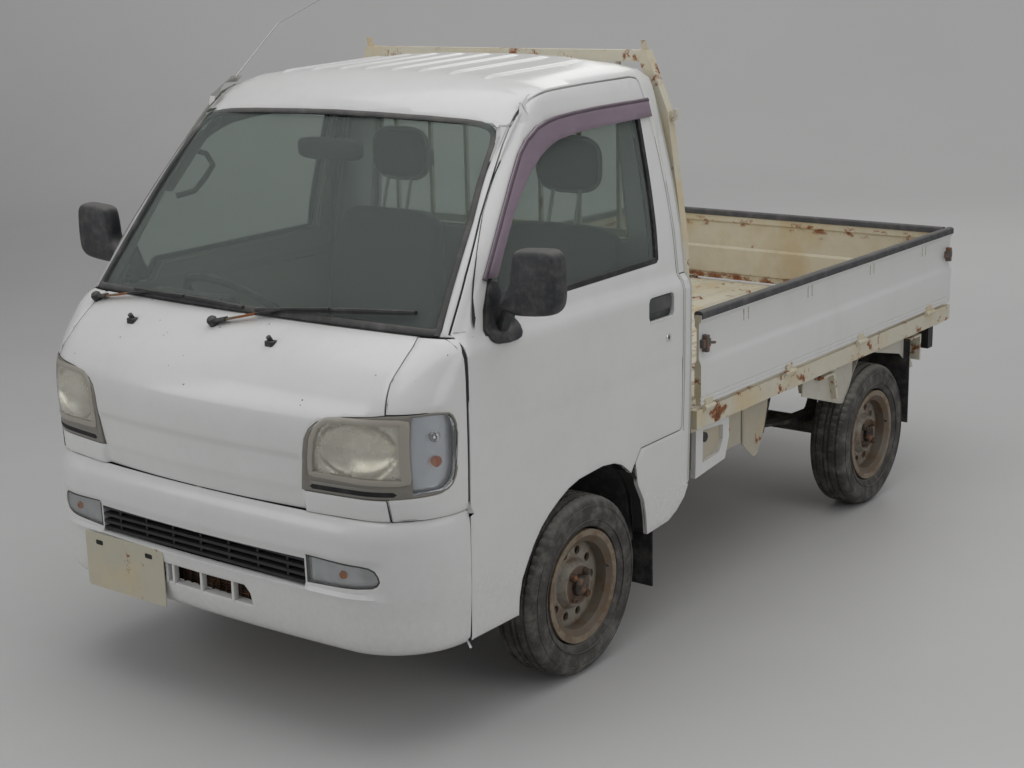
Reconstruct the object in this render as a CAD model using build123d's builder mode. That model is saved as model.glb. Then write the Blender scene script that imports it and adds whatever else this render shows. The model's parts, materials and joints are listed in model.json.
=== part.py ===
from build123d import *
from math import asin, cos, radians, sin, sqrt
import os

os.makedirs("parts", exist_ok=True)

# Full-cab kei truck, in millimetres.
# +X is the truck's left, the front faces -Y and +Z is up; the floor is z = 0.

# Overall sizes
LENGTH = 3395
HALF_WIDTH = 735
NOSE = -LENGTH / 2  # y of the bumper's foremost point

# Axles and wheels
FRONT_AXLE = NOSE + 824
WHEELBASE = 1900
REAR_AXLE = FRONT_AXLE + WHEELBASE
TYRE_RADIUS = 266
TYRE_WIDTH = 145
TRACK = 1305
WHEEL_X = TRACK / 2
HUB_Z = TYRE_RADIUS
KINGPIN_X = 600

# Cab walls and gaps
WALL = 55  # the doors and side walls
FRONT_WALL = 45
BACK_WALL = 40
ROOF_WALL = 28
SKIN = 8  # the door's outer skin, which laps over the frame
REBATE = 14  # depth of the frame's step behind that skin
SHUT_GAP = 6
CORE_INSET = 24  # how far the door's thick core stays inside its outline
CORE_FRONT = 26  # how much further back the core starts at the front pillar
CORE_BACK = 14  # how much further forward it ends at the rear pillar
JAMB_INSET = 12  # how far the frame's core reaches inside the same outline
BACK_Y = NOSE + 1388
BELT_TOP = 1090  # above this height the side walls are thinner
COWL_Z = 1097  # where the front panel ends and the windscreen starts
ROOF_SPLIT = 1596  # where the windscreen ends and the roof starts
UPPER_SHARE = 0.72

# Bed
BED_FRONT = NOSE + 1425
BED_REAR = NOSE + 3383
GATE_X = 727  # outer face of the side gates
GATE_THICK = 24
GATE_LOW = 662
GATE_TOP = 950
HINGE_Z = 655
SIDE_HINGE_X = 733
TAIL_HINGE_Y = NOSE + 3389
HINGE_PIN = 5.5
FLOOR_TOP = 652

# Side door hinge line and steering wheel
DOOR_HINGE_X = 731
DOOR_HINGE_Y = NOSE + 312
STEER_CENTRE = (-350, NOSE + 560, 1010)
COLUMN_TILT = 42  # degrees from upright, leaning forward and down


def finish(piece, name):
    """Label a finished sub-part and write its STEP file."""
    piece.part.label = name
    export_step(piece.part, f"parts/{name}.step")


def fore(points):
    """Side-view points given as distances behind the nose, moved to the model's y."""
    return [(NOSE + distance, height) for distance, height in points]


def side_prism(outline, low_x, high_x, grow=0.0):
    """A solid with a side-view outline (y, z) between two x planes."""
    with BuildPart() as prism:
        with BuildSketch(Plane.YZ.offset(low_x)):
            with BuildLine():
                Polyline(*outline, close=True)
            make_face()
            if grow:
                offset(amount=grow, kind=Kind.INTERSECTION, mode=Mode.REPLACE)
        extrude(amount=high_x - low_x)
    return prism.part


def front_prism(outline, low_y, high_y, round_off=0.0):
    """A solid with a front-view outline (x, z) between two y planes."""
    with BuildPart() as prism:
        with BuildSketch(Plane.XZ.offset(-low_y)) as sketch:
            with BuildLine():
                Polyline(*outline, close=True)
            make_face()
            if round_off:
                fillet(sketch.vertices(), round_off)
        extrude(amount=low_y - high_y)
    return prism.part


def moved(solid, distance):
    """The same solid a distance further back along the truck."""
    return Pos(0, distance, 0) * solid


def slab(low, high):
    """A plain box between two corners."""
    with BuildPart() as block:
        with BuildSketch(Plane.XY.offset(low[2])):
            with Locations(((low[0] + high[0]) / 2, (low[1] + high[1]) / 2)):
                Rectangle(high[0] - low[0], high[1] - low[1])
        extrude(amount=high[2] - low[2])
    return block.part


def plan_prism(outline, low_z, high_z):
    """A solid with a plan outline (x, y) between two heights."""
    with BuildPart() as prism:
        with BuildSketch(Plane.XY.offset(low_z)):
            with BuildLine():
                Polyline(*outline, close=True)
            make_face()
        extrude(amount=high_z - low_z)
    return prism.part


def rod(start, end, radius):
    """A round bar between two points."""
    run = [b - a for a, b in zip(start, end)]
    across = (0, 0, 1) if abs(run[0]) > abs(run[2]) else (1, 0, 0)
    with BuildPart() as bar:
        with BuildSketch(Plane(origin=start, x_dir=across, z_dir=run)):
            Circle(radius)
        extrude(amount=sqrt(sum(step**2 for step in run)))
    return bar.part


def mirrored_pair(sign, near, far):
    """Two distances from the centre plane as x values in rising order on one side."""
    return sorted((sign * near, sign * far))


# Cab outer form: plan sections from the bottom up.
# Columns: height, half width, nose (behind the bumper), bow of the front, width of the round corner
CAB_SECTIONS = [
    (200, 720, 30, 44, 175),
    (640, 731, 16, 44, 175),
    (835, 735, 8, 44, 175),
    (905, 735, 18, 44, 170),
    (955, 735, 48, 42, 160),
    (1005, 735, 98, 40, 140),
    (1050, 735, 162, 36, 105),
    (1078, 727, 208, 32, 85),
    (1097, 711, 243, 26, 78),
    (1225, 696, 343, 24, 76),
    (1350, 672, 441, 23, 75),
    (1475, 642, 538, 24, 75),
    (1596, 610, 633, 28, 75),
    (1760, 558, 761, 32, 75),
]

BUMPER_SECTIONS = [
    (285, 722, 34, 20, 205),
    (330, 729, 14, 20, 222),
    (400, 733, 4, 20, 235),
    (540, 736, 0, 20, 235),
    (610, 735, 4, 20, 235),
    (650, 732, 16, 24, 215),
]


def plan_face(half_width, nose, bow, corner, back):
    """Closed plan outline: bowed front, two tangent corner arcs, straight sides and back."""
    inner = half_width - corner
    bow_radius = (inner**2 + bow**2) / (2 * bow)
    lean = asin(inner / bow_radius)
    radius = corner / (1 - sin(lean))
    start = nose + bow
    centre_x = half_width - radius
    centre_y = start + radius * cos(lean)
    middle = (radians(-90) + lean) / 2
    bend = (centre_x + radius * cos(middle), centre_y + radius * sin(middle))
    with BuildSketch() as outline:
        with BuildLine():
            ThreePointArc((-inner, start), (0, nose), (inner, start))
            ThreePointArc((inner, start), bend, (half_width, centre_y))
            Polyline((half_width, centre_y), (half_width, back), (-half_width, back), (-half_width, centre_y))
            ThreePointArc((-half_width, centre_y), (-bend[0], bend[1]), (-inner, start))
        make_face()
    return outline.sketch


def stacked(sections, back, side=0.0, front=0.0):
    """Loft through plan sections, drawn in at the sides and the front."""
    with BuildPart() as form:
        for height, half_width, nose, bow, corner in sections:
            inset = side * UPPER_SHARE if height > BELT_TOP else side
            with BuildSketch(Plane.XY.offset(height)):
                add(plan_face(half_width - inset, NOSE + nose + front, bow, corner, back))
        loft(ruled=True)
    return form.part


# Roof line in side view (behind the nose, height) and in front view
BROW_START = (644, 1612)
BROW_BEND = (738, 1686)
BROW_END = (850, 1718)
ROOF_REAR = (1330, 1738)
CROWN_EDGE = (640, 1668)
CROWN_TOP = 1740
ROLL_RADIUS = 75


def cab_form(side=0.0, front=0.0, back=0.0, top=0.0):
    """The whole cab as one closed form, drawn in by the given distances."""
    with BuildPart() as form:
        add(stacked(CAB_SECTIONS, BACK_Y - back, side, front))
        with BuildSketch(Plane.YZ.offset(-900)):
            with BuildLine():
                lift = -top
                reach = NOSE + front * 0.6
                start = (reach + BROW_START[0], BROW_START[1] + lift)
                bend = (reach + BROW_BEND[0], BROW_BEND[1] + lift)
                end = (reach + BROW_END[0], BROW_END[1] + lift)
                rear = (NOSE + ROOF_REAR[0], ROOF_REAR[1] + lift)
                drop = (NOSE + 1388, 1690 + lift)
                Polyline((NOSE - 200, 100), (NOSE - 200, start[1]), start)
                ThreePointArc(start, bend, end)
                Polyline(end, rear, drop, (NOSE + 1500, 1690 + lift), (NOSE + 1500, 100), (NOSE - 200, 100))
            make_face()
        extrude(amount=1800, mode=Mode.INTERSECT)
        with BuildSketch(Plane.XZ.offset(-(NOSE - 200))) as front_view:
            with BuildLine():
                low_x = 609 - side + 4
                edge = (CROWN_EDGE[0] - 75 - side, CROWN_EDGE[1] + 14 + lift)
                ThreePointArc((-edge[0], edge[1]), (0, CROWN_TOP + lift), (edge[0], edge[1]))
                Polyline(edge, (low_x, 1600), (900, 1595), (900, 100), (-900, 100), (-900, 1595),
                         (-low_x, 1600), (-edge[0], edge[1]))
            make_face()
            corners = front_view.vertices().group_by(Axis.Y)[-1]
            fillet(corners, ROLL_RADIUS * 0.6)
        extrude(amount=-1900, mode=Mode.INTERSECT)
    return form.part


outer = cab_form()
rebate_form = cab_form(REBATE, REBATE, REBATE, REBATE)
skin_form = cab_form(SKIN, SKIN, SKIN, SKIN)
inner = cab_form(WALL, FRONT_WALL, BACK_WALL, ROOF_WALL)
fit_form = cab_form(WALL + 3, FRONT_WALL + 3, BACK_WALL + 3, ROOF_WALL + 3)  # the room for what is built in

# Side-view outlines of the openings, behind the nose
DOOR_OUTLINE = fore([
    (290, 284), (290, 1062), (305, 1092), (497, 1381), (570, 1473), (677, 1598), (712, 1630), (791, 1660),
    (910, 1673), (1277, 1682), (1314, 1664), (1324, 1590), (1331, 1450), (1333, 1200), (1333, 616), (1103, 612),
    (1050, 560), (900, 420), (700, 284),
])
# The rear pillar stands further back at the top, where the closed door's edge is inboard of its hinge line
REAR_RELIEF = fore([(1290, 1150), (1339, 1150), (1339, 1655), (1326, 1688), (1290, 1688)])

# The front pillar: the door's skin ends at a line seen from the front, and the pillar fills the room behind it
PILLAR_SIDE = fore([
    (292, 1092), (484, 1381), (557, 1473), (664, 1598), (694, 1640), (742, 1640), (712, 1598), (604, 1473),
    (531, 1381), (339, 1092),
])
PILLAR_LINE = [(714, 1092), (627, 1381), (609, 1473), (593, 1598), (592, 1640)]

WINDOW_OUTLINE = fore([
    (388, 1084), (398, 1150), (432, 1222), (530, 1350), (655, 1505), (705, 1550), (765, 1576), (860, 1590),
    (1245, 1592), (1272, 1570), (1236, 1146), (540, 1134), (510, 1080),
])
QUARTER_LOW = fore([
    (1000, 100), (1146, 332), (1266, 341), (1314, 362), (1356, 394), (1388, 443), (1420, 510), (1460, 100),
])


def arch_tool(low_x, high_x, grow=0.0):
    """The front wheel arch's side-view shape as a solid."""
    with BuildPart() as tool:
        with BuildSketch(Plane.YZ.offset(low_x)):
            with BuildLine():
                front = (NOSE + 520, 385)
                top = (NOSE + 785, 599)
                rear = (NOSE + 1125, 445)
                ThreePointArc(front, (NOSE + 609, 511), top)
                ThreePointArc(top, (NOSE + 1000, 585), rear)
                Polyline(rear, (NOSE + 1146, 332), (NOSE + 1146, 150), (NOSE + 512, 150), (NOSE + 512, 284), front)
            make_face()
            if grow:
                offset(amount=grow, mode=Mode.REPLACE)
        extrude(amount=high_x - low_x)
    return tool.part


def pillar_block(sign, gap):
    """The front pillar's own room, ending a gap inboard of the door's line."""
    outline = [(sign * (x - gap), z) for x, z in PILLAR_LINE]
    outline += [(sign * 540, 1640), (sign * 540, 1092)]
    low_x, high_x = mirrored_pair(sign, 500, 760)
    return front_prism(outline, NOSE + 200, NOSE + 800) & side_prism(PILLAR_SIDE, low_x, high_x, -gap / 2)


arch_left = arch_tool(400, 900)
arch_right = arch_tool(-900, -400)

# Doors: an outer skin that laps over the frame and a thick core inside it
DOOR_SIDES = [("left", 1), ("right", -1)]
HANDLE_PLACE = (NOSE + 1209, 1019)
HANDLE_SIZE = (138, 72, 15)  # length, height and corner radius of the recess
HANDLE_DEPTH = 18
PULL_SIZE = (112, 30)
LOCK_PLACE = (NOSE + 1245, 923)
doors = {}
glasses = {}
for side_name, sign in DOOR_SIDES:
    low_x, high_x = sorted((sign * 540, sign * 900))
    with BuildPart() as door:
        add(outer - skin_form)
        add(side_prism(DOOR_OUTLINE, low_x, high_x), mode=Mode.INTERSECT)
        core_zone = side_prism(DOOR_OUTLINE, low_x, high_x, -CORE_INSET)
        core = (skin_form - inner) & core_zone & moved(core_zone, CORE_FRONT) & moved(core_zone, -CORE_BACK)
        add(core)
        add(pillar_block(sign, 0), mode=Mode.SUBTRACT)
        add(side_prism(WINDOW_OUTLINE, low_x, high_x), mode=Mode.SUBTRACT)
        add(arch_left if sign > 0 else arch_right, mode=Mode.SUBTRACT)
        with BuildSketch(Plane.YZ.offset(sign * HALF_WIDTH)):
            with Locations(HANDLE_PLACE):
                RectangleRounded(*HANDLE_SIZE)
        extrude(amount=-sign * HANDLE_DEPTH, mode=Mode.SUBTRACT)
        with BuildSketch(Plane.YZ.offset(sign * (HALF_WIDTH - HANDLE_DEPTH - 1))):
            with Locations((HANDLE_PLACE[0], HANDLE_PLACE[1] + 12)):
                RectangleRounded(*PULL_SIZE, 8)
        extrude(amount=sign * 13)
        with BuildSketch(Plane.YZ.offset(sign * (HALF_WIDTH - 5))):
            with Locations(LOCK_PLACE):
                Circle(11)
        extrude(amount=sign * 7)
    doors[side_name] = door
    finish(door, f"{side_name}_door")

glass_outer = cab_form(10, 8, 8, 8)
glass_inner = cab_form(14.5, 12.5, 12.5, 12.5)
for side_name, sign in DOOR_SIDES:
    low_x, high_x = sorted((sign * 540, sign * 900))
    with BuildPart() as door_glass:
        add(glass_outer - glass_inner)
        add(side_prism(WINDOW_OUTLINE, low_x, high_x), mode=Mode.INTERSECT)
    glasses[side_name] = door_glass
    finish(door_glass, f"{side_name}_door_glass")

# Tinted visors: a thin band stands off the door round the window's front and top, on a flange
VISOR_FLANGE = fore([
    (418, 1225), (516, 1348), (659, 1523), (757, 1582), (857, 1601), (1060, 1611), (1325, 1615), (1325, 1603),
    (1060, 1598), (859, 1588), (765, 1569), (670, 1512), (528, 1338), (432, 1218),
])
VISOR_BAND = fore([
    (418, 1225), (516, 1348), (659, 1523), (757, 1582), (857, 1601), (1060, 1611), (1325, 1615), (1325, 1561),
    (1040, 1553), (846, 1540), (766, 1513), (692, 1472), (573, 1365), (463, 1224),
])
VISOR_OFF = 11
VISOR_SKIN = 3
visor_outer = cab_form(-VISOR_OFF / UPPER_SHARE, -VISOR_OFF, 0, -VISOR_OFF)
visor_inner = cab_form((VISOR_SKIN - VISOR_OFF) / UPPER_SHARE, VISOR_SKIN - VISOR_OFF, 0, VISOR_SKIN - VISOR_OFF)
for side_name, sign in DOOR_SIDES:
    low_x, high_x = mirrored_pair(sign, 560, 760)
    with BuildPart() as visor:
        add((visor_outer - visor_inner) & side_prism(VISOR_BAND, low_x, high_x))
        add((visor_outer - outer) & side_prism(VISOR_FLANGE, low_x, high_x))
    finish(visor, f"{side_name}_visor")

# Front view outlines of the windscreen and the rear window, and the front panel's seams
WINDSCREEN_OUTLINE = [
    (658, COWL_Z), (604, 1381), (586, 1480), (573, 1560), (563, 1582), (540, ROOF_SPLIT),
    (-540, ROOF_SPLIT), (-563, 1582), (-573, 1560), (-586, 1480), (-604, 1381), (-658, COWL_Z),
]
REAR_WINDOW_OUTLINE = [(-520, 1180), (520, 1180), (480, 1540), (-480, 1540)]
SEAM = [(638, 640), (630, 724), (629, 930), (611, 1010), (608, 1073), (602, 1100)]
LAMP_OUTLINE = [
    (386, 712), (394, 779), (406, 852), (420, 880), (441, 898), (518, 918), (628, 929), (745, 931), (745, 725),
]
LAMP_REAR = NOSE + 236

windscreen_cut = front_prism(WINDSCREEN_OUTLINE, NOSE + 100, NOSE + 760)
rear_window_cut = front_prism(REAR_WINDOW_OUTLINE, NOSE + 1300, NOSE + 1500)

with BuildPart() as windscreen:
    add(glass_outer - glass_inner)
    add(windscreen_cut, mode=Mode.INTERSECT)
finish(windscreen, "windscreen")

with BuildPart() as rear_window:
    add(glass_outer - glass_inner)
    add(rear_window_cut, mode=Mode.INTERSECT)
finish(rear_window, "rear_window")

# Cab wall without its doors and windows; the doors' front edges swing into a recess beside the hinges,
# which reaches further in below the waist, where the door is drawn in above its hinge line
HINGE_RECESS_X = 699
BELT_RECESS_X = 686
BELT_RECESS_LOW = 1064
door_openings = []
for side_name, sign in DOOR_SIDES:
    low_x, high_x = sorted((sign * 540, sign * 900))
    door_openings.append((low_x, high_x, arch_left if sign > 0 else arch_right, pillar_block(sign, SHUT_GAP)))

with BuildPart() as cab_wall:
    add(outer - rebate_form)
    for low_x, high_x, arch, pillar in door_openings:
        add(side_prism(DOOR_OUTLINE, low_x, high_x, SHUT_GAP) - pillar, mode=Mode.SUBTRACT)
        add(side_prism(REAR_RELIEF, low_x, high_x), mode=Mode.SUBTRACT)
    core_wall = rebate_form - inner
    for low_x, high_x, arch, pillar in door_openings:
        jamb_zone = side_prism(DOOR_OUTLINE, low_x, high_x, -JAMB_INSET)
        core_wall = core_wall - (jamb_zone & moved(jamb_zone, CORE_FRONT))
    add(core_wall)
    for sign in (1, -1):
        low_x, high_x = sorted((sign * HINGE_RECESS_X, sign * 760))
        add(slab((low_x, NOSE + 284, 200), (high_x, NOSE + 336, 1102)), mode=Mode.SUBTRACT)
        low_x, high_x = sorted((sign * BELT_RECESS_X, sign * 760))
        add(slab((low_x, NOSE + 284, BELT_RECESS_LOW), (high_x, NOSE + 344, 1102)), mode=Mode.SUBTRACT)
    for low_x, high_x, arch, pillar in door_openings:
        add(arch, mode=Mode.SUBTRACT)
    add(windscreen_cut, mode=Mode.SUBTRACT)
    add(rear_window_cut, mode=Mode.SUBTRACT)
    add(side_prism(QUARTER_LOW, -900, 900), mode=Mode.SUBTRACT)

# The lamps stand in openings through the front wall
lamp_cuts = []
for sign in (1, -1):
    outline = [(sign * x, z) for x, z in LAMP_OUTLINE]
    lamp_cuts.append(front_prism(outline, NOSE - 50, LAMP_REAR))

lamp_back = cab_form(44, 44, 44, 44)
with BuildPart() as headlamps:
    add(outer - lamp_back)
    add(lamp_cuts[0] + lamp_cuts[1], mode=Mode.INTERSECT)
finish(headlamps, "headlamps")

seam_outline = SEAM + [(-x, z) for x, z in reversed(SEAM)]
centre_region = front_prism(seam_outline, NOSE - 50, NOSE + 400)
cowl_region = slab((-612, NOSE + 200, 652), (612, NOSE + 400, COWL_Z))
nose_region = slab((-900, NOSE - 50, 652), (900, NOSE + 284, COWL_Z)) + cowl_region

with BuildPart() as front_panel:
    add(cab_wall.part)
    add(nose_region & centre_region, mode=Mode.INTERSECT)
    for cut in lamp_cuts:
        add(cut, mode=Mode.SUBTRACT)
finish(front_panel, "front_panel")

with BuildPart() as corner_panels:
    add(cab_wall.part)
    add(nose_region - centre_region, mode=Mode.INTERSECT)
    for cut in lamp_cuts:
        add(cut, mode=Mode.SUBTRACT)
finish(corner_panels, "corner_panels")

# Roof with its lengthwise ribs
RIB_PLACES = [-393, -268, -156, -52, 52, 156, 268, 393]
RIB_FRONT = NOSE + 830
RIB_REAR = NOSE + 1290
RIB_WIDTH = 34
RIB_HEIGHT = 6

with BuildPart() as roof_panel:
    add(cab_wall.part)
    add(slab((-900, NOSE + 300, ROOF_SPLIT), (900, NOSE + 1500, 1900)), mode=Mode.INTERSECT)
    rib_form = cab_form(0, 0, 0, -RIB_HEIGHT) - outer
    rib_bars = [
        slab((x - RIB_WIDTH / 2, RIB_FRONT, 1640), (x + RIB_WIDTH / 2, RIB_REAR, 1800)) for x in RIB_PLACES
    ]
    for bar in rib_bars:
        add(rib_form & bar)
finish(roof_panel, "roof_panel")

BUMPER_WALL = 12
BUMPER_FLANGE = 42
BACK_LOW = 590  # lower edge of the back wall, above the rails
with BuildPart() as cab_shell:
    add(cab_wall.part)
    add(slab((-900, NOSE + 284, 284), (900, NOSE + 1500, ROOF_SPLIT)), mode=Mode.INTERSECT)
    add(cowl_region, mode=Mode.SUBTRACT)
    add(slab((-640, NOSE + 1300, 200), (640, NOSE + 1500, BACK_LOW)), mode=Mode.SUBTRACT)
finish(cab_shell, "cab_shell")

# Front bumper: a hollow cover round the nose with its slots, and the empty plate bracket
SLOT_LOW, SLOT_HIGH, SLOT_HALF = 462, 532, 396
LOWER_SLOT = [(-150, 372), (150, 372), (205, 380), (190, 408), (150, 418), (-150, 418)]
CLEARANCE_LAMP = [(400, 468), (612, 480), (622, 512), (606, 536), (400, 545)]
PLATE_CENTRE = (-299, 367.5)
PLATE_SIZE = (330, 165, 6)
PLATE_SLOTS = 105  # half the distance between the two bolt holes
PLATE_HOLE_Z = 422

bumper_outer = stacked(BUMPER_SECTIONS, NOSE + 283)
bumper_inner = stacked(BUMPER_SECTIONS, NOSE + 400, BUMPER_WALL, BUMPER_WALL)
bumper_inner = bumper_inner & slab((-900, NOSE - 50, 200), (900, NOSE + 500, 638))
bumper_mouth = stacked(BUMPER_SECTIONS, NOSE + 420, BUMPER_FLANGE, BUMPER_FLANGE)
clearance_cuts = []
for sign in (1, -1):
    outline = [(sign * x, z) for x, z in CLEARANCE_LAMP]
    clearance_cuts.append(front_prism(outline, NOSE - 50, NOSE + 200))
slot_cut = front_prism(
    [(-SLOT_HALF, SLOT_LOW), (SLOT_HALF, SLOT_LOW), (SLOT_HALF, SLOT_HIGH), (-SLOT_HALF, SLOT_HIGH)],
    NOSE - 50, NOSE + 120)

with BuildPart() as front_bumper:
    add(bumper_outer - bumper_inner - bumper_mouth)
    for cut in clearance_cuts:
        add(cut, mode=Mode.SUBTRACT)
    add(slot_cut, mode=Mode.SUBTRACT)
    add(front_prism(LOWER_SLOT, NOSE - 50, NOSE + 120), mode=Mode.SUBTRACT)
finish(front_bumper, "front_bumper")

with BuildPart() as clearance_lamps:
    add(bumper_outer - stacked(BUMPER_SECTIONS, NOSE + 400, 40, 40))
    add(clearance_cuts[0] + clearance_cuts[1], mode=Mode.INTERSECT)
finish(clearance_lamps, "clearance_lamps")

with BuildPart() as bumper_grille:
    for height in (462, 482, 503, 524):
        add(slab((-SLOT_HALF, NOSE + 18, height), (SLOT_HALF, NOSE + 50, height + 8)))
    for x in range(-330, 331, 110):
        add(slab((x - 4, NOSE + 24, SLOT_LOW), (x + 4, NOSE + 50, SLOT_HIGH)))
finish(bumper_grille, "bumper_grille")

with BuildPart() as plate_bracket:
    with BuildSketch(Plane.XZ.offset(-(NOSE + 0.2))):
        with Locations(PLATE_CENTRE):
            RectangleRounded(*PLATE_SIZE)
    extrude(amount=-3)
    for x in (-PLATE_SLOTS, PLATE_SLOTS):
        low_x = PLATE_CENTRE[0] + x
        add(slab((low_x - 22, NOSE + 3, 300), (low_x + 22, NOSE + 18, 400)))
    with Locations(Plane(origin=(PLATE_CENTRE[0], NOSE + 0.2, PLATE_HOLE_Z), x_dir=(1, 0, 0), z_dir=(0, -1, 0))):
        with GridLocations(2 * PLATE_SLOTS, 1, 2, 1):
            Hole(3.5, depth=12)
    add(bumper_outer, mode=Mode.SUBTRACT)
finish(plate_bracket, "plate_bracket")

# Cab floor, seat plinth and front wheelhouses
with BuildPart() as cab_floor:
    add(slab((-662, NOSE + 130, 415), (662, NOSE + 512, 430)))
    add(slab((-520, NOSE + 118, 415), (520, NOSE + 130, 860)))
    add(slab((-662, NOSE + 500, 430), (662, NOSE + 512, 745)))
    add(slab((-662, NOSE + 500, 745), (662, NOSE + 1347, 760)))
    for sign in (1, -1):
        low_x, high_x = sorted((sign * 400, sign * 662))
        add(arch_tool(low_x, high_x, 14) - arch_tool(low_x, high_x)
            - slab((-900, NOSE, 0), (900, NOSE + 2000, 300)))
        low_x, high_x = sorted((sign * 400, sign * 412))
        add(arch_tool(low_x, high_x, 10) - slab((-900, NOSE, 0), (900, NOSE + 2000, 420)))
        low_x, high_x = sorted((sign * 648, sign * 662))
        add(slab((low_x, NOSE + 500, 430), (high_x, NOSE + 1347, 745)) - arch_tool(low_x, high_x, 5))
    add(fit_form, mode=Mode.INTERSECT)
finish(cab_floor, "cab_floor")

# Line of the steering column, and the dashboard round it
lean = radians(COLUMN_TILT)
COLUMN_AXIS = (0, -sin(lean), -cos(lean))
column_plane = Plane(origin=STEER_CENTRE, x_dir=(1, 0, 0), z_dir=COLUMN_AXIS)
DASH_SIDE = fore([(150, 800), (255, 1060), (330, 1075), (455, 1040), (478, 985), (470, 900), (380, 820), (300, 760)])
BINNACLE_HALF = 150
BINNACLE_SIDE = fore([(302, 1064), (352, 1098), (415, 1086), (410, 1044)])
# The glove box, the radio and heater panel and four air vents are shallow recesses in its rear face
DASH_RECESSES = [
    ((170, NOSE + 455, 905), (500, NOSE + 520, 975)),
    ((-75, NOSE + 458, 915), (75, NOSE + 520, 985)),
    ((-160, NOSE + 455, 990), (-92, NOSE + 520, 1025)),
    ((92, NOSE + 455, 990), (160, NOSE + 520, 1025)),
    ((520, NOSE + 455, 990), (588, NOSE + 520, 1025)),
    ((-588, NOSE + 455, 990), (-520, NOSE + 520, 1025)),
]
with BuildPart() as dashboard:
    add(side_prism(DASH_SIDE, -640, 640))
    add(fit_form, mode=Mode.INTERSECT)
    with BuildSketch(Plane.YZ.offset(STEER_CENTRE[0] - BINNACLE_HALF)):
        with BuildLine():
            Polyline(BINNACLE_SIDE[0], BINNACLE_SIDE[3], BINNACLE_SIDE[2])
            ThreePointArc(BINNACLE_SIDE[2], BINNACLE_SIDE[1], BINNACLE_SIDE[0])
        make_face()
    extrude(amount=2 * BINNACLE_HALF)
    for low, high in DASH_RECESSES:
        add(slab(low, high), mode=Mode.SUBTRACT)
    with BuildSketch(column_plane.offset(60)):
        RectangleRounded(96, 102, 22)
    extrude(amount=500, mode=Mode.SUBTRACT)
finish(dashboard, "dashboard")

# Seats: closed solids for the cushions, backrests and headrests
SEAT_PLACES = [("left", 350), ("right", -350)]
CUSHION_SIDE = fore([(640, 762), (650, 842), (1130, 836), (1180, 762)])
BACKREST_SIDE = fore([(1100, 800), (1205, 1345), (1308, 1330), (1262, 770), (1150, 764)])
HEADREST_SIDE = fore([(1232, 1352), (1238, 1496), (1306, 1490), (1318, 1352)])
for side_name, x in SEAT_PLACES:
    with BuildPart() as seat:
        cushion = side_prism(CUSHION_SIDE, x - 230, x + 230)
        backrest = side_prism(BACKREST_SIDE, x - 225, x + 225)
        headrest = side_prism(HEADREST_SIDE, x - 125, x + 125)
        add(cushion.fillet(24, cushion.edges()))
        add(backrest.fillet(24, backrest.edges()))
        add(headrest.fillet(28, headrest.edges()))
        for rod_x in (x - 50, x + 50):
            add(rod((rod_x, NOSE + 1262, 1310), (rod_x, NOSE + 1270, 1370), 6))
    finish(seat, f"{side_name}_seat")

# Steering wheel and column
with BuildPart() as steering_wheel:
    with BuildSketch(Plane(origin=STEER_CENTRE, x_dir=COLUMN_AXIS, z_dir=(1, 0, 0))):
        with Locations((0, 182)):
            RegularPolygon(13, 8)
    revolve(axis=Axis(STEER_CENTRE, COLUMN_AXIS))
    with BuildSketch(column_plane.offset(4)):
        Circle(55)
        for turn in (0, 180):
            with Locations(Location((0, 0), turn)):
                with Locations((90, 0)):
                    Rectangle(180, 36)
    extrude(amount=16)
    with BuildSketch(column_plane.offset(20)):
        Circle(26)
    extrude(amount=40)
finish(steering_wheel, "steering_wheel")

with BuildPart() as steering_column:
    with BuildSketch(column_plane.offset(66)):
        RectangleRounded(90, 96, 20)
    extrude(amount=120)
    with BuildSketch(column_plane.offset(186)):
        Circle(20)
    extrude(amount=380)
finish(steering_column, "steering_column")

with BuildPart() as floor_controls:
    add(slab((-60, NOSE + 560, 760), (60, NOSE + 640, 772)))
    with BuildSketch(Plane.XY.offset(772)):
        with Locations((0, NOSE + 600)):
            Circle(7)
    extrude(amount=200)
    with BuildSketch(Plane.XY.offset(955)):
        with Locations((0, NOSE + 600)):
            Circle(20)
    extrude(amount=36)
finish(floor_controls, "floor_controls")

# Mirrors: a sail patch on the door, an arm and a round-cornered head
SAIL_OUTLINE = fore([(437, 1222), (389, 1130), (383, 1080), (398, 1064), (428, 1062), (500, 1072), (526, 1092),
                     (505, 1118)])
SAIL_OFF = 9
MIRROR_CENTRE = (826, 1222)
MIRROR_SIZE = (176, 170, 32)
MIRROR_FRONT = NOSE + 448
MIRROR_DEPTH = 56
sail_outer = cab_form(-SAIL_OFF, -SAIL_OFF, 0, 0)
for side_name, sign in DOOR_SIDES:
    low_x, high_x = mirrored_pair(sign, 640, 800)
    with BuildPart() as mirror:
        with BuildSketch(Plane.XZ.offset(-MIRROR_FRONT)):
            with Locations((sign * MIRROR_CENTRE[0], MIRROR_CENTRE[1])):
                RectangleRounded(*MIRROR_SIZE)
        extrude(amount=-MIRROR_DEPTH)
        chamfer(mirror.faces().sort_by(Axis.Y)[0].edges(), 14)
        add((sail_outer - outer) & side_prism(SAIL_OUTLINE, low_x, high_x))
        add(rod((sign * 736, NOSE + 462, 1078), (sign * 768, NOSE + 472, 1150), 14))
    finish(mirror, f"{side_name}_mirror")

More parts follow.
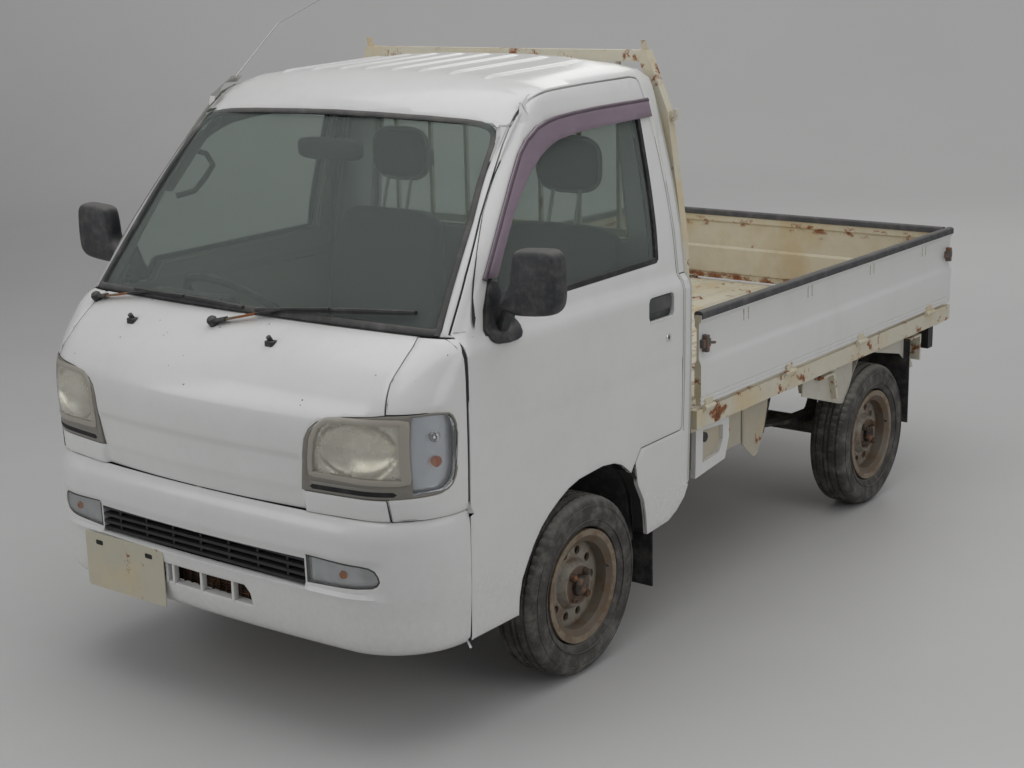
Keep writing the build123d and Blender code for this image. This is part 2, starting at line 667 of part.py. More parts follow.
# Bed floor with lengthwise ribs
with BuildPart() as bed_floor:
    add(slab((-700, BED_FRONT + 22, 640), (700, BED_REAR - GATE_THICK - 5, FLOOR_TOP)))
    for k in range(13):
        x = -612 + 102 * k
        add(front_prism([(x - 34, FLOOR_TOP), (x - 26, FLOOR_TOP + 8), (x + 26, FLOOR_TOP + 8), (x + 34, FLOOR_TOP)],
                        BED_FRONT + 60, BED_REAR - GATE_THICK - 40))
finish(bed_floor, "bed_floor")

# Bed sills, side rails and hinge pins
SILLS = [1460, 1780, 2110, 2440, 2770, 3080, 3330]
HINGES = [1498, 2027, 2574, 3176]
with BuildPart() as bed_frame:
    for y in SILLS:
        add(slab((-700, NOSE + y - 22, 575), (700, NOSE + y + 22, 640)))
    for sign in (1, -1):
        low_x, high_x = sorted((sign * 700, sign * GATE_X))
        add(slab((low_x, BED_FRONT + 2, 592), (high_x, BED_REAR, 652)))
        for y in HINGES:
            low_x, high_x = sorted((sign * GATE_X, sign * SIDE_HINGE_X))
            add(slab((low_x, NOSE + y - 35, 640), (high_x, NOSE + y + 35, 655)))
            with BuildSketch(Plane.XZ.offset(-(NOSE + y - 35))):
                with Locations((sign * SIDE_HINGE_X, HINGE_Z)):
                    Circle(HINGE_PIN)
            extrude(amount=-70)
    add(slab((-700, BED_REAR - 24, 592), (700, BED_REAR, 652)))
    for x in (-480, 0, 480):
        add(slab((x - 35, BED_REAR, 640), (x + 35, TAIL_HINGE_Y, 655)))
        with BuildSketch(Plane.YZ.offset(x - 35)):
            with Locations((TAIL_HINGE_Y, HINGE_Z)):
                Circle(HINGE_PIN)
        extrude(amount=70)
finish(bed_frame, "bed_frame")

# Gates: one pressed section each, with a crease below a shallow outer panel and a rolled top edge
# Columns: depth behind the outer face, height
GATE_SECTION = [
    (3, GATE_LOW), (0, GATE_LOW + 6), (0, 792), (4, 802), (4, 908), (0, 918), (0, GATE_TOP - 4), (4, GATE_TOP),
    (20, GATE_TOP), (24, GATE_TOP - 4), (24, 914), (17, 906), (17, 806), (24, 796), (24, 690), (19, 684),
    (19, GATE_LOW),
]
GATE_RIBS = [1746, 2188, 2673, 3131]  # upright pressings in the side gates' outer panel, behind the nose
for side_name, sign in DOOR_SIDES:
    outline = [(sign * (GATE_X - depth), height) for depth, height in GATE_SECTION]
    with BuildPart() as gate:
        add(front_prism(outline, BED_FRONT + 26, BED_REAR))
        for y in GATE_RIBS:
            low_x, high_x = mirrored_pair(sign, GATE_X - 6, GATE_X)
            add(slab((low_x, NOSE + y - 16, 800), (high_x, NOSE + y + 16, 910)))
        for y in HINGES:
            low_x, high_x = mirrored_pair(sign, GATE_X, GATE_X + 4)
            add(slab((low_x, NOSE + y - 28, 670), (high_x, NOSE + y + 28, 742)))
        for y in (BED_FRONT + 40, BED_REAR - 60):
            low_x, high_x = mirrored_pair(sign, GATE_X, GATE_X + 9)
            add(slab((low_x, y, 838), (high_x, y + 34, 884)))
    finish(gate, f"{side_name}_gate")

TAIL_REACH = GATE_X - GATE_THICK - 6
TAIL_RIBS = [-480, -160, 160, 480]
tail_outline = [(BED_REAR - depth, height) for depth, height in GATE_SECTION]
with BuildPart() as tail_gate:
    add(side_prism(tail_outline, -TAIL_REACH, TAIL_REACH))
    for x in TAIL_RIBS:
        add(slab((x - 16, BED_REAR - 6, 800), (x + 16, BED_REAR, 910)))
finish(tail_gate, "tail_gate")

# Guard frame: the front board, two posts that follow the cab's sides, cross bars and rope hooks
with BuildPart() as guard_frame:
    add(slab((-697, BED_FRONT, 652), (697, BED_FRONT + 18, 940)))
    guard_outer = front_prism([(-700, 940), (-690, 1190), (-636, 1570), (-560, 1750), (560, 1750), (636, 1570),
                               (690, 1190), (700, 940)], NOSE + 1400, NOSE + 1432)
    guard_hole = front_prism([(-664, 930), (-654, 1186), (-602, 1556), (-536, 1716), (536, 1716), (602, 1556),
                              (654, 1186), (664, 930)], NOSE + 1390, NOSE + 1440)
    add(guard_outer - guard_hole)
    for z in (1000, 1180):
        add(slab((-660, NOSE + 1404, z), (660, NOSE + 1428, z + 24)))
    for x in range(-450, 451, 150):
        add(slab((x - 6, NOSE + 1410, 1190), (x + 6, NOSE + 1422, 1730)))
    for sign in (1, -1):
        low_x, high_x = mirrored_pair(sign, 542, 554)
        add(side_prism(fore([(1404, 1745), (1398, 1780), (1410, 1780), (1418, 1760), (1430, 1745)]), low_x, high_x))
        low_x, high_x = mirrored_pair(sign, 630, 660)
        add(slab((low_x, NOSE + 1408, 1545), (high_x, NOSE + 1424, 1557)))
        low_x, high_x = mirrored_pair(sign, 650, 660)
        add(slab((low_x, NOSE + 1408, 1545), (high_x, NOSE + 1424, 1578)))
finish(guard_frame, "guard_frame")

# Chassis rails and cross members
RAIL_LINE = fore([(110, 300), (1240, 300), (1480, 465), (3340, 465), (3340, 575), (1440, 575), (1200, 412), (110, 412)])
with BuildPart() as chassis_frame:
    for sign in (1, -1):
        low_x, high_x = sorted((sign * 330, sign * 375))
        add(side_prism(RAIL_LINE, low_x, high_x))
    for y, z in ((130, 330), (480, 320), (1500, 490), (2100, 490), (3000, 490), (3300, 490)):
        add(slab((-330, NOSE + y - 25, z), (330, NOSE + y + 25, z + 60)))
finish(chassis_frame, "chassis_frame")

with BuildPart() as engine:
    add(slab((-210, NOSE + 720, 290), (210, NOSE + 1220, 700)))
finish(engine, "engine")

with BuildPart() as driveline:
    with BuildSketch(Plane.XZ.offset(-(NOSE + 1222))):
        with Locations((0, 400)):
            Circle(110)
    with BuildSketch(Plane.XZ.offset(-(NOSE + 1600))):
        with Locations((0, 360)):
            Circle(60)
    loft()
    shaft_plane = Plane(origin=(0, NOSE + 1600, 360), x_dir=(1, 0, 0), z_dir=(0, 1000, -85))
    with BuildSketch(shaft_plane):
        Circle(28)
    extrude(amount=1000)
finish(driveline, "driveline")

with BuildPart() as rear_axle:
    with BuildSketch(Plane.YZ.offset(-560)):
        with Locations((REAR_AXLE, HUB_Z)):
            Circle(32)
    extrude(amount=1120)
    with BuildSketch(Plane.YZ.offset(-85)):
        with Locations((REAR_AXLE, HUB_Z)):
            Circle(105)
    extrude(amount=170)
    for low_x in (-592, 560):
        with BuildSketch(Plane.YZ.offset(low_x)):
            with Locations((REAR_AXLE, HUB_Z)):
                Circle(115)
        extrude(amount=32)
finish(rear_axle, "rear_axle")

SPRING_X = 480
SPRING_HALF = 25
# Leaf springs, three leaves each: front end, rear end, height of the ends, height at the axle
LEAVES = [(2245, 3215, 372, 331), (2380, 3075, 350, 320), (2510, 2940, 328, 309)]
LEAF_THICK = 9
with BuildPart() as rear_suspension:
    for sign in (1, -1):
        low_x, high_x = mirrored_pair(sign, SPRING_X - SPRING_HALF, SPRING_X + SPRING_HALF)
        for front_end, rear_end, end_z, axle_z in LEAVES:
            with BuildSketch(Plane.YZ.offset(low_x)):
                with BuildLine():
                    low = fore([(front_end, end_z), (2724, axle_z), (rear_end, end_z)])
                    high = [(y, z + LEAF_THICK + 1) for y, z in low]
                    ThreePointArc(*low)
                    Line(low[2], high[2])
                    ThreePointArc(high[2], high[1], high[0])
                    Line(high[0], low[0])
                make_face()
            extrude(amount=high_x - low_x)
        add(slab((low_x - 4, REAR_AXLE - 40, 299), (high_x + 4, REAR_AXLE + 40, 344)))
        low_x, high_x = mirrored_pair(sign, 376, SPRING_X + SPRING_HALF)
        add(side_prism(fore([(2200, 574), (2200, 480), (2228, 350), (2266, 350), (2320, 480), (2320, 574)]),
                       low_x, high_x))
        add(side_prism(fore([(3190, 574), (3198, 360), (3232, 360), (3240, 574)]), low_x, high_x))
        add(rod((sign * 420, NOSE + 2780, 292), (sign * 420, NOSE + 2895, 470), 20))
        low_x, high_x = mirrored_pair(sign, 376, 442)
        add(slab((low_x, NOSE + 2872, 470), (high_x, NOSE + 2918, 520)))
        low_x, high_x = mirrored_pair(sign, 400, SPRING_X)
        add(slab((low_x, NOSE + 2750, 299), (high_x, NOSE + 2800, 309)))
finish(rear_suspension, "rear_suspension")

ARM_END = 604
with BuildPart() as front_suspension:
    add(slab((-329, FRONT_AXLE - 60, 200), (329, FRONT_AXLE + 60, 260)))
    for sign in (1, -1):
        arm = [(329, -60), (470, -30), (570, -14), (ARM_END, -14), (ARM_END, 14), (570, 14), (470, 30), (329, 60)]
        add(plan_prism([(sign * x, FRONT_AXLE + y) for x, y in arm], 165, 190))
        low_x, high_x = mirrored_pair(sign, 329, 380)
        add(slab((low_x, FRONT_AXLE - 60, 165), (high_x, FRONT_AXLE + 60, 260)))
        add(rod((sign * 540, FRONT_AXLE, 345), (sign * 540, FRONT_AXLE, 599), 18))
        add(rod((sign * 540, FRONT_AXLE, 548), (sign * 540, FRONT_AXLE, 597), 42))
        low_x, high_x = mirrored_pair(sign, 530, ARM_END)
        add(slab((low_x, FRONT_AXLE - 12, 345), (high_x, FRONT_AXLE + 12, 365)))
finish(front_suspension, "front_suspension")

# Knuckles and wheels
for side_name, sign in DOOR_SIDES:
    with BuildPart() as knuckle:
        with BuildSketch(Plane.XY.offset(191)):
            with Locations((sign * KINGPIN_X, FRONT_AXLE)):
                Circle(20)
        extrude(amount=153)
        low_x, high_x = sorted((sign * KINGPIN_X, sign * 640))
        with BuildSketch(Plane.YZ.offset(low_x)):
            with Locations((FRONT_AXLE, HUB_Z)):
                Circle(30)
        extrude(amount=40)
        low_x, high_x = sorted((sign * 622, sign * 634))
        with BuildSketch(Plane.YZ.offset(low_x)):
            with Locations((FRONT_AXLE, HUB_Z)):
                Circle(112)
        extrude(amount=12)
    finish(knuckle, f"{side_name}_knuckle")

WHEELS = [
    ("front_left", 1, FRONT_AXLE),
    ("front_right", -1, FRONT_AXLE),
    ("rear_left", 1, REAR_AXLE),
    ("rear_right", -1, REAR_AXLE),
]
# Tyre half section: distance from the middle plane, radius
TYRE_SECTION = [(50, 168), (62, 178), (72.5, 215), (66, 252), (52, 264), (0, TYRE_RADIUS)]
RIM_SECTION = [
    (62, 150), (62, 167.5), (50, 167.5), (44, 140), (-44, 140), (-50, 167.5), (-62, 167.5), (-62, 150), (-50, 130),
    (6, 130), (10, 70), (34, 58), (34, 0), (42, 0), (42, 62), (18, 76), (16, 130), (50, 130),
]
RIM_HOLES = 10
HOLE_CIRCLE = 98
HOLE_RADIUS = 13
NUT_CIRCLE = 46
for wheel_name, sign, axle_y in WHEELS:
    wheel_plane = Plane(origin=(sign * WHEEL_X, axle_y, HUB_Z), x_dir=(sign, 0, 0), z_dir=(0, -sign, 0))
    with BuildPart() as tyre:
        with BuildSketch(wheel_plane):
            with BuildLine():
                Polyline(*TYRE_SECTION, *[(-x, r) for x, r in reversed(TYRE_SECTION[:-1])], close=True)
            make_face()
        revolve(axis=Axis((0, axle_y, HUB_Z), (1, 0, 0)))
    finish(tyre, f"{wheel_name}_tyre")
    with BuildPart() as rim:
        with BuildSketch(wheel_plane):
            with BuildLine():
                Polyline(*RIM_SECTION, close=True)
            make_face()
        revolve(axis=Axis((0, axle_y, HUB_Z), (1, 0, 0)))
        disc_plane = Plane(origin=(sign * WHEEL_X, axle_y, HUB_Z), x_dir=(0, 1, 0), z_dir=(sign, 0, 0))
        with BuildSketch(disc_plane):
            with PolarLocations(HOLE_CIRCLE, RIM_HOLES):
                Circle(HOLE_RADIUS)
        extrude(amount=30, mode=Mode.SUBTRACT)
        with BuildSketch(disc_plane.offset(42)):
            with PolarLocations(NUT_CIRCLE, 4, start_angle=45):
                RegularPolygon(11, 6)
            Circle(26)
        extrude(amount=14)
    finish(rim, f"{wheel_name}_rim")

# Under the bed: wheelhouse panels, mud flaps, tank, battery box, exhaust and lamps
with BuildPart() as rear_wheelhouses:
    for sign in (1, -1):
        low_x, high_x = sorted((sign * 560, sign * 712))
        add(side_prism(fore([(2290, 565), (2395, 565), (2425, 470), (2440, 470), (2408, 573), (2290, 573)]),
                       low_x, high_x))
        add(side_prism(fore([(3050, 573), (3150, 573), (3150, 470), (3140, 470), (3140, 565), (3050, 565)]),
                       low_x, high_x))
finish(rear_wheelhouses, "rear_wheelhouses")

with BuildPart() as mud_flaps:
    for sign in (1, -1):
        low_x, high_x = sorted((sign * 575, sign * 715))
        add(slab((low_x, NOSE + 1186, 150), (high_x, NOSE + 1192, 326)))
        add(slab((low_x, NOSE + 3036, 240), (high_x, NOSE + 3042, 572)))
        low_x, high_x = sorted((sign * 575, sign * 668))
        add(slab((low_x, NOSE + 1186, 320), (high_x, NOSE + 1192, 412)))
finish(mud_flaps, "mud_flaps")

with BuildPart() as fuel_tank:
    add(slab((-640, NOSE + 1560, 330), (-390, NOSE + 2060, 560)))
    fillet(fuel_tank.edges().filter_by(Axis.Y), 40)
    for y in (1660, 1930):
        add(slab((-643, NOSE + y, 368), (-376, NOSE + y + 34, 522)) - slab((-390, NOSE + y, 300), (-376, NOSE + y + 34, 480)))
        add(slab((-600, NOSE + y, 327), (-430, NOSE + y + 34, 563)))
finish(fuel_tank, "fuel_tank")

with BuildPart() as battery_box:
    add(slab((400, NOSE + 1500, 380), (690, NOSE + 1760, 574)))
finish(battery_box, "battery_box")

with BuildPart() as exhaust:
    add(rod((250, NOSE + 1190, 400), (250, NOSE + 2908, 400), 18))
    add(rod((210.5, NOSE + 1190, 400), (272, NOSE + 1190, 400), 21))
    add(slab((285, NOSE + 3060, 425), (350, NOSE + 3080, 465)))
    with BuildSketch(Plane.XZ.offset(-(NOSE + 2900))):
        with Locations((250, 400)):
            Ellipse(70, 50)
    extrude(amount=-380)
    with BuildSketch(Plane.XZ.offset(-(NOSE + 3280))):
        with Locations((250, 400)):
            Circle(18)
    extrude(amount=-90)
finish(exhaust, "exhaust")

with BuildPart() as tail_lamps:
    for sign in (1, -1):
        low_x, high_x = sorted((sign * 420, sign * 660))
        add(slab((low_x, NOSE + 3340, 470), (high_x, NOSE + 3385, 560)))
        low_x, high_x = sorted((sign * 500, sign * 560))
        add(slab((low_x, NOSE + 3345, 560), (high_x, NOSE + 3352, 574)))
finish(tail_lamps, "tail_lamps")

# Wipers and aerial
with BuildPart() as wipers:
    for x, y, z in ((-606, 219, 1076), (-68, 178, 1066)):
        with BuildSketch(Plane(origin=(x, NOSE + y, z), x_dir=(1, 0, 0), z_dir=(0, -0.5, 0.87))):
            Circle(12)
        extrude(amount=26)
        add(slab((x, NOSE + y - 12, z + 14), (x + 430, NOSE + y - 4, z + 22)))
finish(wipers, "wipers")

# The aerial's foot lies along the roof's right front corner; its mast leans back and has a bend
AERIAL_X = -560
AERIAL_FOOT = fore([(684, 1606), (690, 1636), (786, 1690), (808, 1690), (808, 1650), (700, 1596)])
MAST_POINTS = fore([(778, 1677), (989, 1842), (1300, 1951)])
with BuildPart() as aerial:
    add(side_prism(AERIAL_FOOT, AERIAL_X - 11, AERIAL_X + 11))
    add(rod((AERIAL_X, *MAST_POINTS[0]), (AERIAL_X, *MAST_POINTS[1]), 2.5))
    add(rod((AERIAL_X, *MAST_POINTS[1]), (AERIAL_X, *MAST_POINTS[2]), 2))
    add(outer, mode=Mode.SUBTRACT)
finish(aerial, "aerial")
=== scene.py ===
import json
import math

import bmesh
import bpy
import numpy as np
from mathutils import Matrix, Vector
from mathutils.geometry import delaunay_2d_cdt


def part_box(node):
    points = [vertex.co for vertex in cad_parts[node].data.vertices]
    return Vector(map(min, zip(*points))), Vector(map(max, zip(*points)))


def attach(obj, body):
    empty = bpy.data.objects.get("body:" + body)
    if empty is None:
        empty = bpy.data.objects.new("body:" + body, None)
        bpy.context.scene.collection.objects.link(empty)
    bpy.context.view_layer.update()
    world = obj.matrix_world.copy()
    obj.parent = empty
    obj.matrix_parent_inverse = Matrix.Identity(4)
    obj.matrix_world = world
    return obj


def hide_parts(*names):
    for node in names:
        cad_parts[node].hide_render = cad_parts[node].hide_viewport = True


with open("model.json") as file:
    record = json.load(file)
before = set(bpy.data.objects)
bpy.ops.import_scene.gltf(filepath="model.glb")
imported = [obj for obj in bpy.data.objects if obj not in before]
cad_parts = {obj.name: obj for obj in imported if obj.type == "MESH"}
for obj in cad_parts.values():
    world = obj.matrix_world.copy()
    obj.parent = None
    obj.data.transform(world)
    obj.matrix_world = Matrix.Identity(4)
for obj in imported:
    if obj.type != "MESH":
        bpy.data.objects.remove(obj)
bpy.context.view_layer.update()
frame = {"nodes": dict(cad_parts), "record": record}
nodes = frame["nodes"]
SIDES = [("left", 1), ("right", -1)]

# Places are in millimetres, as on the truck: across (+ is its left), behind the bumper, above the floor
NOSE = -1.6975
FRONT_AXLE, REAR_AXLE, HUB_Z, WHEEL_X = 824, 2724, 266, 652.5


def at(across, behind, height):
    """A place on the truck, in the frame's metres."""
    return Vector((across / 1000, NOSE + behind / 1000, height / 1000))


class Form:
    """Gathers the faces of one piece. Places are in millimetres, as on the truck."""

    def __init__(self):
        self.verts = []
        self.faces = []

    def add(self, verts, faces):
        start = len(self.verts)
        self.verts += [tuple(v) for v in verts]
        self.faces += [[start + i for i in face] for face in faces]

    def loft(self, rings, caps=True, closed=True, wrap=False):
        """Joins rings of equally many points."""
        count = len(rings[0])
        around = count if closed else count - 1
        faces = []
        steps = len(rings) if wrap else len(rings) - 1
        for k in range(steps):
            low, high = k * count, (k + 1) % len(rings) * count
            for i in range(around):
                j = (i + 1) % count
                faces.append((low + i, low + j, high + j, high + i))
        if caps and not wrap:
            faces.append(tuple(reversed(range(count))))
            last = (len(rings) - 1) * count
            faces.append(tuple(range(last, last + count)))
        self.add([p for ring in rings for p in ring], faces)
        return self

    def grid(self, rows, thickness=None):
        """A sheet from rows of points, closed into a shell where a thickness is given."""
        if thickness is None:
            return self.loft(rows, caps=False, closed=False)
        tall, wide = len(rows), len(rows[0])
        inner = []
        for r in range(tall):
            line = []
            for c in range(wide):
                across = Vector(rows[r][min(c + 1, wide - 1)]) - Vector(rows[r][max(c - 1, 0)])
                up = Vector(rows[min(r + 1, tall - 1)][c]) - Vector(rows[max(r - 1, 0)][c])
                line.append(Vector(rows[r][c]) - across.cross(up).normalized() * thickness)
            inner.append(line)
        rings = []
        for outside, inside in zip(rows, inner):
            rings.append(list(outside) + list(reversed(inside)))
        return self.loft(rings)

    def tube(self, path, radius, sides=10, closed=False, section=None):
        """Sweeps a circle, or a section of (sideways, upward) points, along a path."""
        points = [Vector(p) for p in path]
        ring_points = section or [
            (radius * math.cos(2 * math.pi * i / sides), radius * math.sin(2 * math.pi * i / sides))
            for i in range(sides)
        ]
        rings = []
        guide = Vector((0, 0, 1))
        for i, point in enumerate(points):
            before = points[i - 1] if i or closed else point
            after = points[(i + 1) % len(points)] if i + 1 < len(points) or closed else point
            along = (after - before).normalized()
            sideways = along.cross(guide)
            if sideways.length < 1e-4:
                sideways = along.orthogonal()
            sideways.normalize()
            lift = sideways.cross(along)
            if not section:
                guide = lift
            rings.append([point + sideways * a + lift * b for a, b in ring_points])
        return self.loft(rings, wrap=closed)

    def lathe(self, profile, centre, axis=(1, 0, 0), sides=48, closed=False):
        """Turns (along, radius) points round an axis through a centre."""
        along = Vector(axis).normalized()
        side = along.orthogonal().normalized()
        other = along.cross(side)
        rings = []
        for k in range(sides):
            angle = 2 * math.pi * k / sides
            out = side * math.cos(angle) + other * math.sin(angle)
            rings.append([Vector(centre) + along * a + out * r for a, r in profile])
        return self.loft(rings, caps=False, closed=closed, wrap=True)

    def slab(self, low, high, radius=0.0, edge=0.0, axis=2, steps=4):
        """A box whose corners are rounded about one axis, with chamfered ends."""
        u, v = [i for i in range(3) if i != axis]
        bottom, top = low[axis], high[axis]
        edge = min(edge, (top - bottom) * 0.45)
        rings = []
        for place, inset in ((bottom, edge), (bottom + edge, 0), (top - edge, 0), (top, edge)):
            ring = []
            for cu, cv, start in ((1, 1, 0), (-1, 1, 1), (-1, -1, 2), (1, -1, 3)):
                bend = max(radius, edge)
                corner_u = (high[u] - bend) if cu > 0 else (low[u] + bend)
                corner_v = (high[v] - bend) if cv > 0 else (low[v] + bend)
                for s in range(steps + 1):
                    angle = (start + s / steps) * math.pi / 2
                    point = [0.0, 0.0, 0.0]
                    point[axis] = place
                    point[u] = corner_u + (bend - inset) * math.cos(angle)
                    point[v] = corner_v + (bend - inset) * math.sin(angle)
                    ring.append(point)
            rings.append(ring)
        return self.loft(rings)

    def rod(self, start, end, radius, sides=14, edge=0.0):
        """A round bar with chamfered ends."""
        start, end = Vector(start), Vector(end)
        along = (end - start).normalized()
        side = along.orthogonal().normalized()
        other = along.cross(side)
        edge = edge or radius * 0.12
        rings = []
        for point, r in ((start, radius - edge), (start + along * edge, radius),
                         (end - along * edge, radius), (end, radius - edge)):
            rings.append([point + (side * math.cos(a) + other * math.sin(a)) * r
                          for a in [2 * math.pi * i / sides for i in range(sides)]])
        return self.loft(rings)

    def prism(self, outline, low, high):
        """An outline in side view (behind, height) stood out between two places across."""
        return self.loft([[(x, y, z) for y, z in outline] for x in (low, high)])

    def piece(self, name, material, body="truck", slot=None, sharp=32, replaces=()):
        """Makes the object, in metres, and lets it ride on its body."""
        mesh = bpy.data.meshes.new(name)
        mesh.from_pydata([at(*v) for v in self.verts], [], self.faces)
        fix_normals(mesh)
        mesh.shade_smooth()
        mesh.set_sharp_from_angle(angle=math.radians(sharp))
        mesh.materials.append(material)
        obj = bpy.data.objects.new(name, mesh)
        bpy.context.scene.collection.objects.link(obj)
        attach(obj, body)
        if replaces:
            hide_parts(*replaces)
        return obj


def fix_normals(mesh, weld=0.0):
    """Turns a mesh's faces outwards, after welding points closer than weld, in metres."""
    work = bmesh.new()
    work.from_mesh(mesh)
    if weld:
        bmesh.ops.remove_doubles(work, verts=work.verts, dist=weld)
    bmesh.ops.recalc_face_normals(work, faces=work.faces)
    work.to_mesh(mesh)
    work.free()


class Finish:
    """One procedural material, built up in layers on a principled shader."""

    def __init__(self, name, color, rough=0.5, metal=0.0, coat=0.0):
        self.material = bpy.data.materials.new(name)
        self.material.use_nodes = True
        self.tree = self.material.node_tree
        self.shader = self.tree.nodes["Principled BSDF"]
        self.set("Base Color", (*color, 1))
        self.set("Roughness", rough)
        self.set("Metallic", metal)
        self.set("Coat Weight", coat)
        self.set("Coat Roughness", 0.12)
        self.color, self.rough = color, rough
        self.coordinates = self.node("ShaderNodeTexCoord")
        self.place = self.coordinates.outputs["Object"]

    def set(self, socket, value):
        self.shader.inputs[socket].default_value = value

    def node(self, kind, **values):
        made = self.tree.nodes.new(kind)
        for key, value in values.items():
            setattr(made, key, value)
        return made

    def link(self, start, end):
        self.tree.links.new(start, end)

    def noise(self, scale, detail=4.0, stretch=(1, 1, 1), rough=0.6, shift=0.0):
        """A noise value; scale is in cells for each metre."""
        mapping = self.node("ShaderNodeMapping")
        mapping.inputs["Scale"].default_value = stretch
        mapping.inputs["Location"].default_value = (shift, shift * 0.7, shift * 1.3)
        self.link(self.place, mapping.inputs["Vector"])
        cloud = self.node("ShaderNodeTexNoise")
        cloud.inputs["Scale"].default_value = scale
        cloud.inputs["Detail"].default_value = detail
        cloud.inputs["Roughness"].default_value = rough
        self.link(mapping.outputs["Vector"], cloud.inputs["Vector"])
        return cloud.outputs["Fac"]

    def ramp(self, value, low, high):
        """0 where the value is below low, 1 above high."""
        spread = self.node("ShaderNodeMapRange", interpolation_type="SMOOTHSTEP")
        spread.inputs["From Min"].default_value = low
        spread.inputs["From Max"].default_value = high
        self.link(value, spread.inputs["Value"])
        return spread.outputs["Result"]

    def split(self, vector):
        """The X, Y and Z of a vector."""
        made = self.node("ShaderNodeSeparateXYZ")
        self.link(vector, made.inputs["Vector"])
        return made.outputs

    def along(self, axis, low, high):
        """0 to 1 between two places along an axis, in metres."""
        return self.ramp(self.split(self.place)[axis], low, high)

    def facing_up(self, low=0.3, high=0.95):
        """1 on faces that look up."""
        normal = self.node("ShaderNodeNewGeometry").outputs["Normal"]
        return self.ramp(self.split(normal)["Z"], low, high)

    def facing_out(self, axis="X"):
        """1 on faces that look away from the truck's middle plane, or to the rear where axis is Y."""
        normal, place = self.split(self.coordinates.outputs["Normal"]), self.split(self.place)
        return self.ramp(self.times(normal[axis], place[axis]), 0.05, 0.15)

    def hub_distance(self):
        """Distance from the nearer axle's line, in metres."""
        place = self.split(self.place)
        middle, half = (FRONT_AXLE + REAR_AXLE) / 2000 + NOSE, (REAR_AXLE - FRONT_AXLE) / 2000
        along = self.math("SUBTRACT", place["Y"], middle, False)
        along = self.math("SUBTRACT", self.math("ABSOLUTE", along, 0, False), half, False)
        over = self.math("SUBTRACT", place["Z"], HUB_Z / 1000, False)
        squares = [self.math("MULTIPLY", v, v, False) for v in (along, over)]
        return self.math("SQRT", self.math("ADD", *squares, False), 0, False)

    def math(self, operation, a, b, clamp=True):
        made = self.node("ShaderNodeMath", operation=operation, use_clamp=clamp)
        for socket, value in zip(made.inputs, (a, b)):
            if isinstance(value, (int, float)):
                socket.default_value = value
            else:
                self.link(value, socket)
        return made.outputs["Value"]

    def times(self, a, b):
        return self.math("MULTIPLY", a, b)

    def patches(self, low, high, *cloud, **more):
        """Soft-edged patches of a noise: 0 where it is below low, 1 above high."""
        return self.ramp(self.noise(*cloud, **more), low, high)

    def wave(self, direction, scale):
        made = self.node("ShaderNodeTexWave", bands_direction=direction)
        made.inputs["Scale"].default_value = scale
        self.link(self.place, made.inputs["Vector"])
        return made.outputs["Fac"]

    def blend(self, share, color, rough=None):
        """Covers the finish with another colour where share is 1."""
        self.mix("Base Color", "RGBA", share, (*self.color, 1), (*color, 1))
        if rough is not None:
            self.mix("Roughness", "FLOAT", share, self.rough, rough)
        return self

    def mix(self, name, kind, share, first, second):
        """Mixes a new value into a socket of the shader, over what is there."""
        socket = self.shader.inputs[name]
        made = self.node("ShaderNodeMix", data_type=kind)
        if socket.is_linked:
            self.link(socket.links[0].from_socket, made.inputs["A"])
        else:
            made.inputs["A"].default_value = first
        made.inputs["B"].default_value = second
        self.link(share, made.inputs["Factor"])
        self.link(made.outputs["Result"], socket)

    def bump(self, value, strength=0.3, distance=0.001):
        made = self.node("ShaderNodeBump")
        made.inputs["Strength"].default_value = strength
        made.inputs["Distance"].default_value = distance
        self.link(value, made.inputs["Height"])
        normal = self.shader.inputs["Normal"]
        if normal.is_linked:
            self.link(normal.links[0].from_socket, made.inputs["Normal"])
        self.link(made.outputs["Normal"], normal)
        return self


RUST, RUST_DARK = (0.27, 0.095, 0.03), (0.10, 0.045, 0.022)
DUST = (0.42, 0.38, 0.31)
# The inner white is the body's white darkened: painted shade for the inside of the cab
SIDE_WHITE, SHADED_INNER_WHITE = (0.70, 0.70, 0.675), (0.42, 0.42, 0.39)


def painted(name, color, rough=0.3, coat=0.0, dirt=0.15, rust=0.0, yellow=0.0, low_dirt=0.0, chips=False):
    """Old paint: uneven tone, dust, yellowed patches, chips and rust."""
    made = Finish(name, color, rough, coat=coat)
    made.blend(made.times(made.patches(0.35, 0.75, 3.0, 5), 0.6), tuple(c * 0.93 for c in color))
    if yellow:
        stain = made.patches(0.46, 0.7, 4.5, 6, shift=3.0)
        made.blend(made.times(stain, yellow), (0.62, 0.47, 0.24), rough + 0.15)
    if dirt:
        film = made.patches(0.42, 0.8, 14, 8, rough=0.75, shift=7.0)
        made.blend(made.times(film, dirt), DUST, min(1, rough + 0.3))
    if low_dirt:
        spray = made.math("SUBTRACT", 1.0, made.along("Z", 0.18, 0.62))
        grain = made.patches(0.3, 0.75, 60, 6, rough=0.8, shift=2.0)
        made.blend(made.times(made.times(spray, grain), low_dirt), DUST, 0.85)
    if rust:
        cloud = made.noise(9, 9, rough=0.72, shift=11.0)
        edge = 0.72 - 0.22 * rust
        made.blend(made.ramp(cloud, edge, edge + 0.05), RUST, 0.9)
        made.blend(made.ramp(cloud, edge + 0.05, edge + 0.12), RUST_DARK, 0.95)
        made.bump(made.ramp(cloud, edge - 0.01, edge + 0.06), 0.25, 0.0006)
    if chips:
        bonnet = made.times(made.facing_up(0.3, 0.5), made.along("Y", -1.36, -1.42))
        specks = made.patches(0.735, 0.75, 38, 2, shift=5.0)
        made.blend(made.times(specks, bonnet), (0.10, 0.075, 0.055), 0.9)
    made.bump(made.noise(420, 2), 0.02, 0.0002)
    return made.material


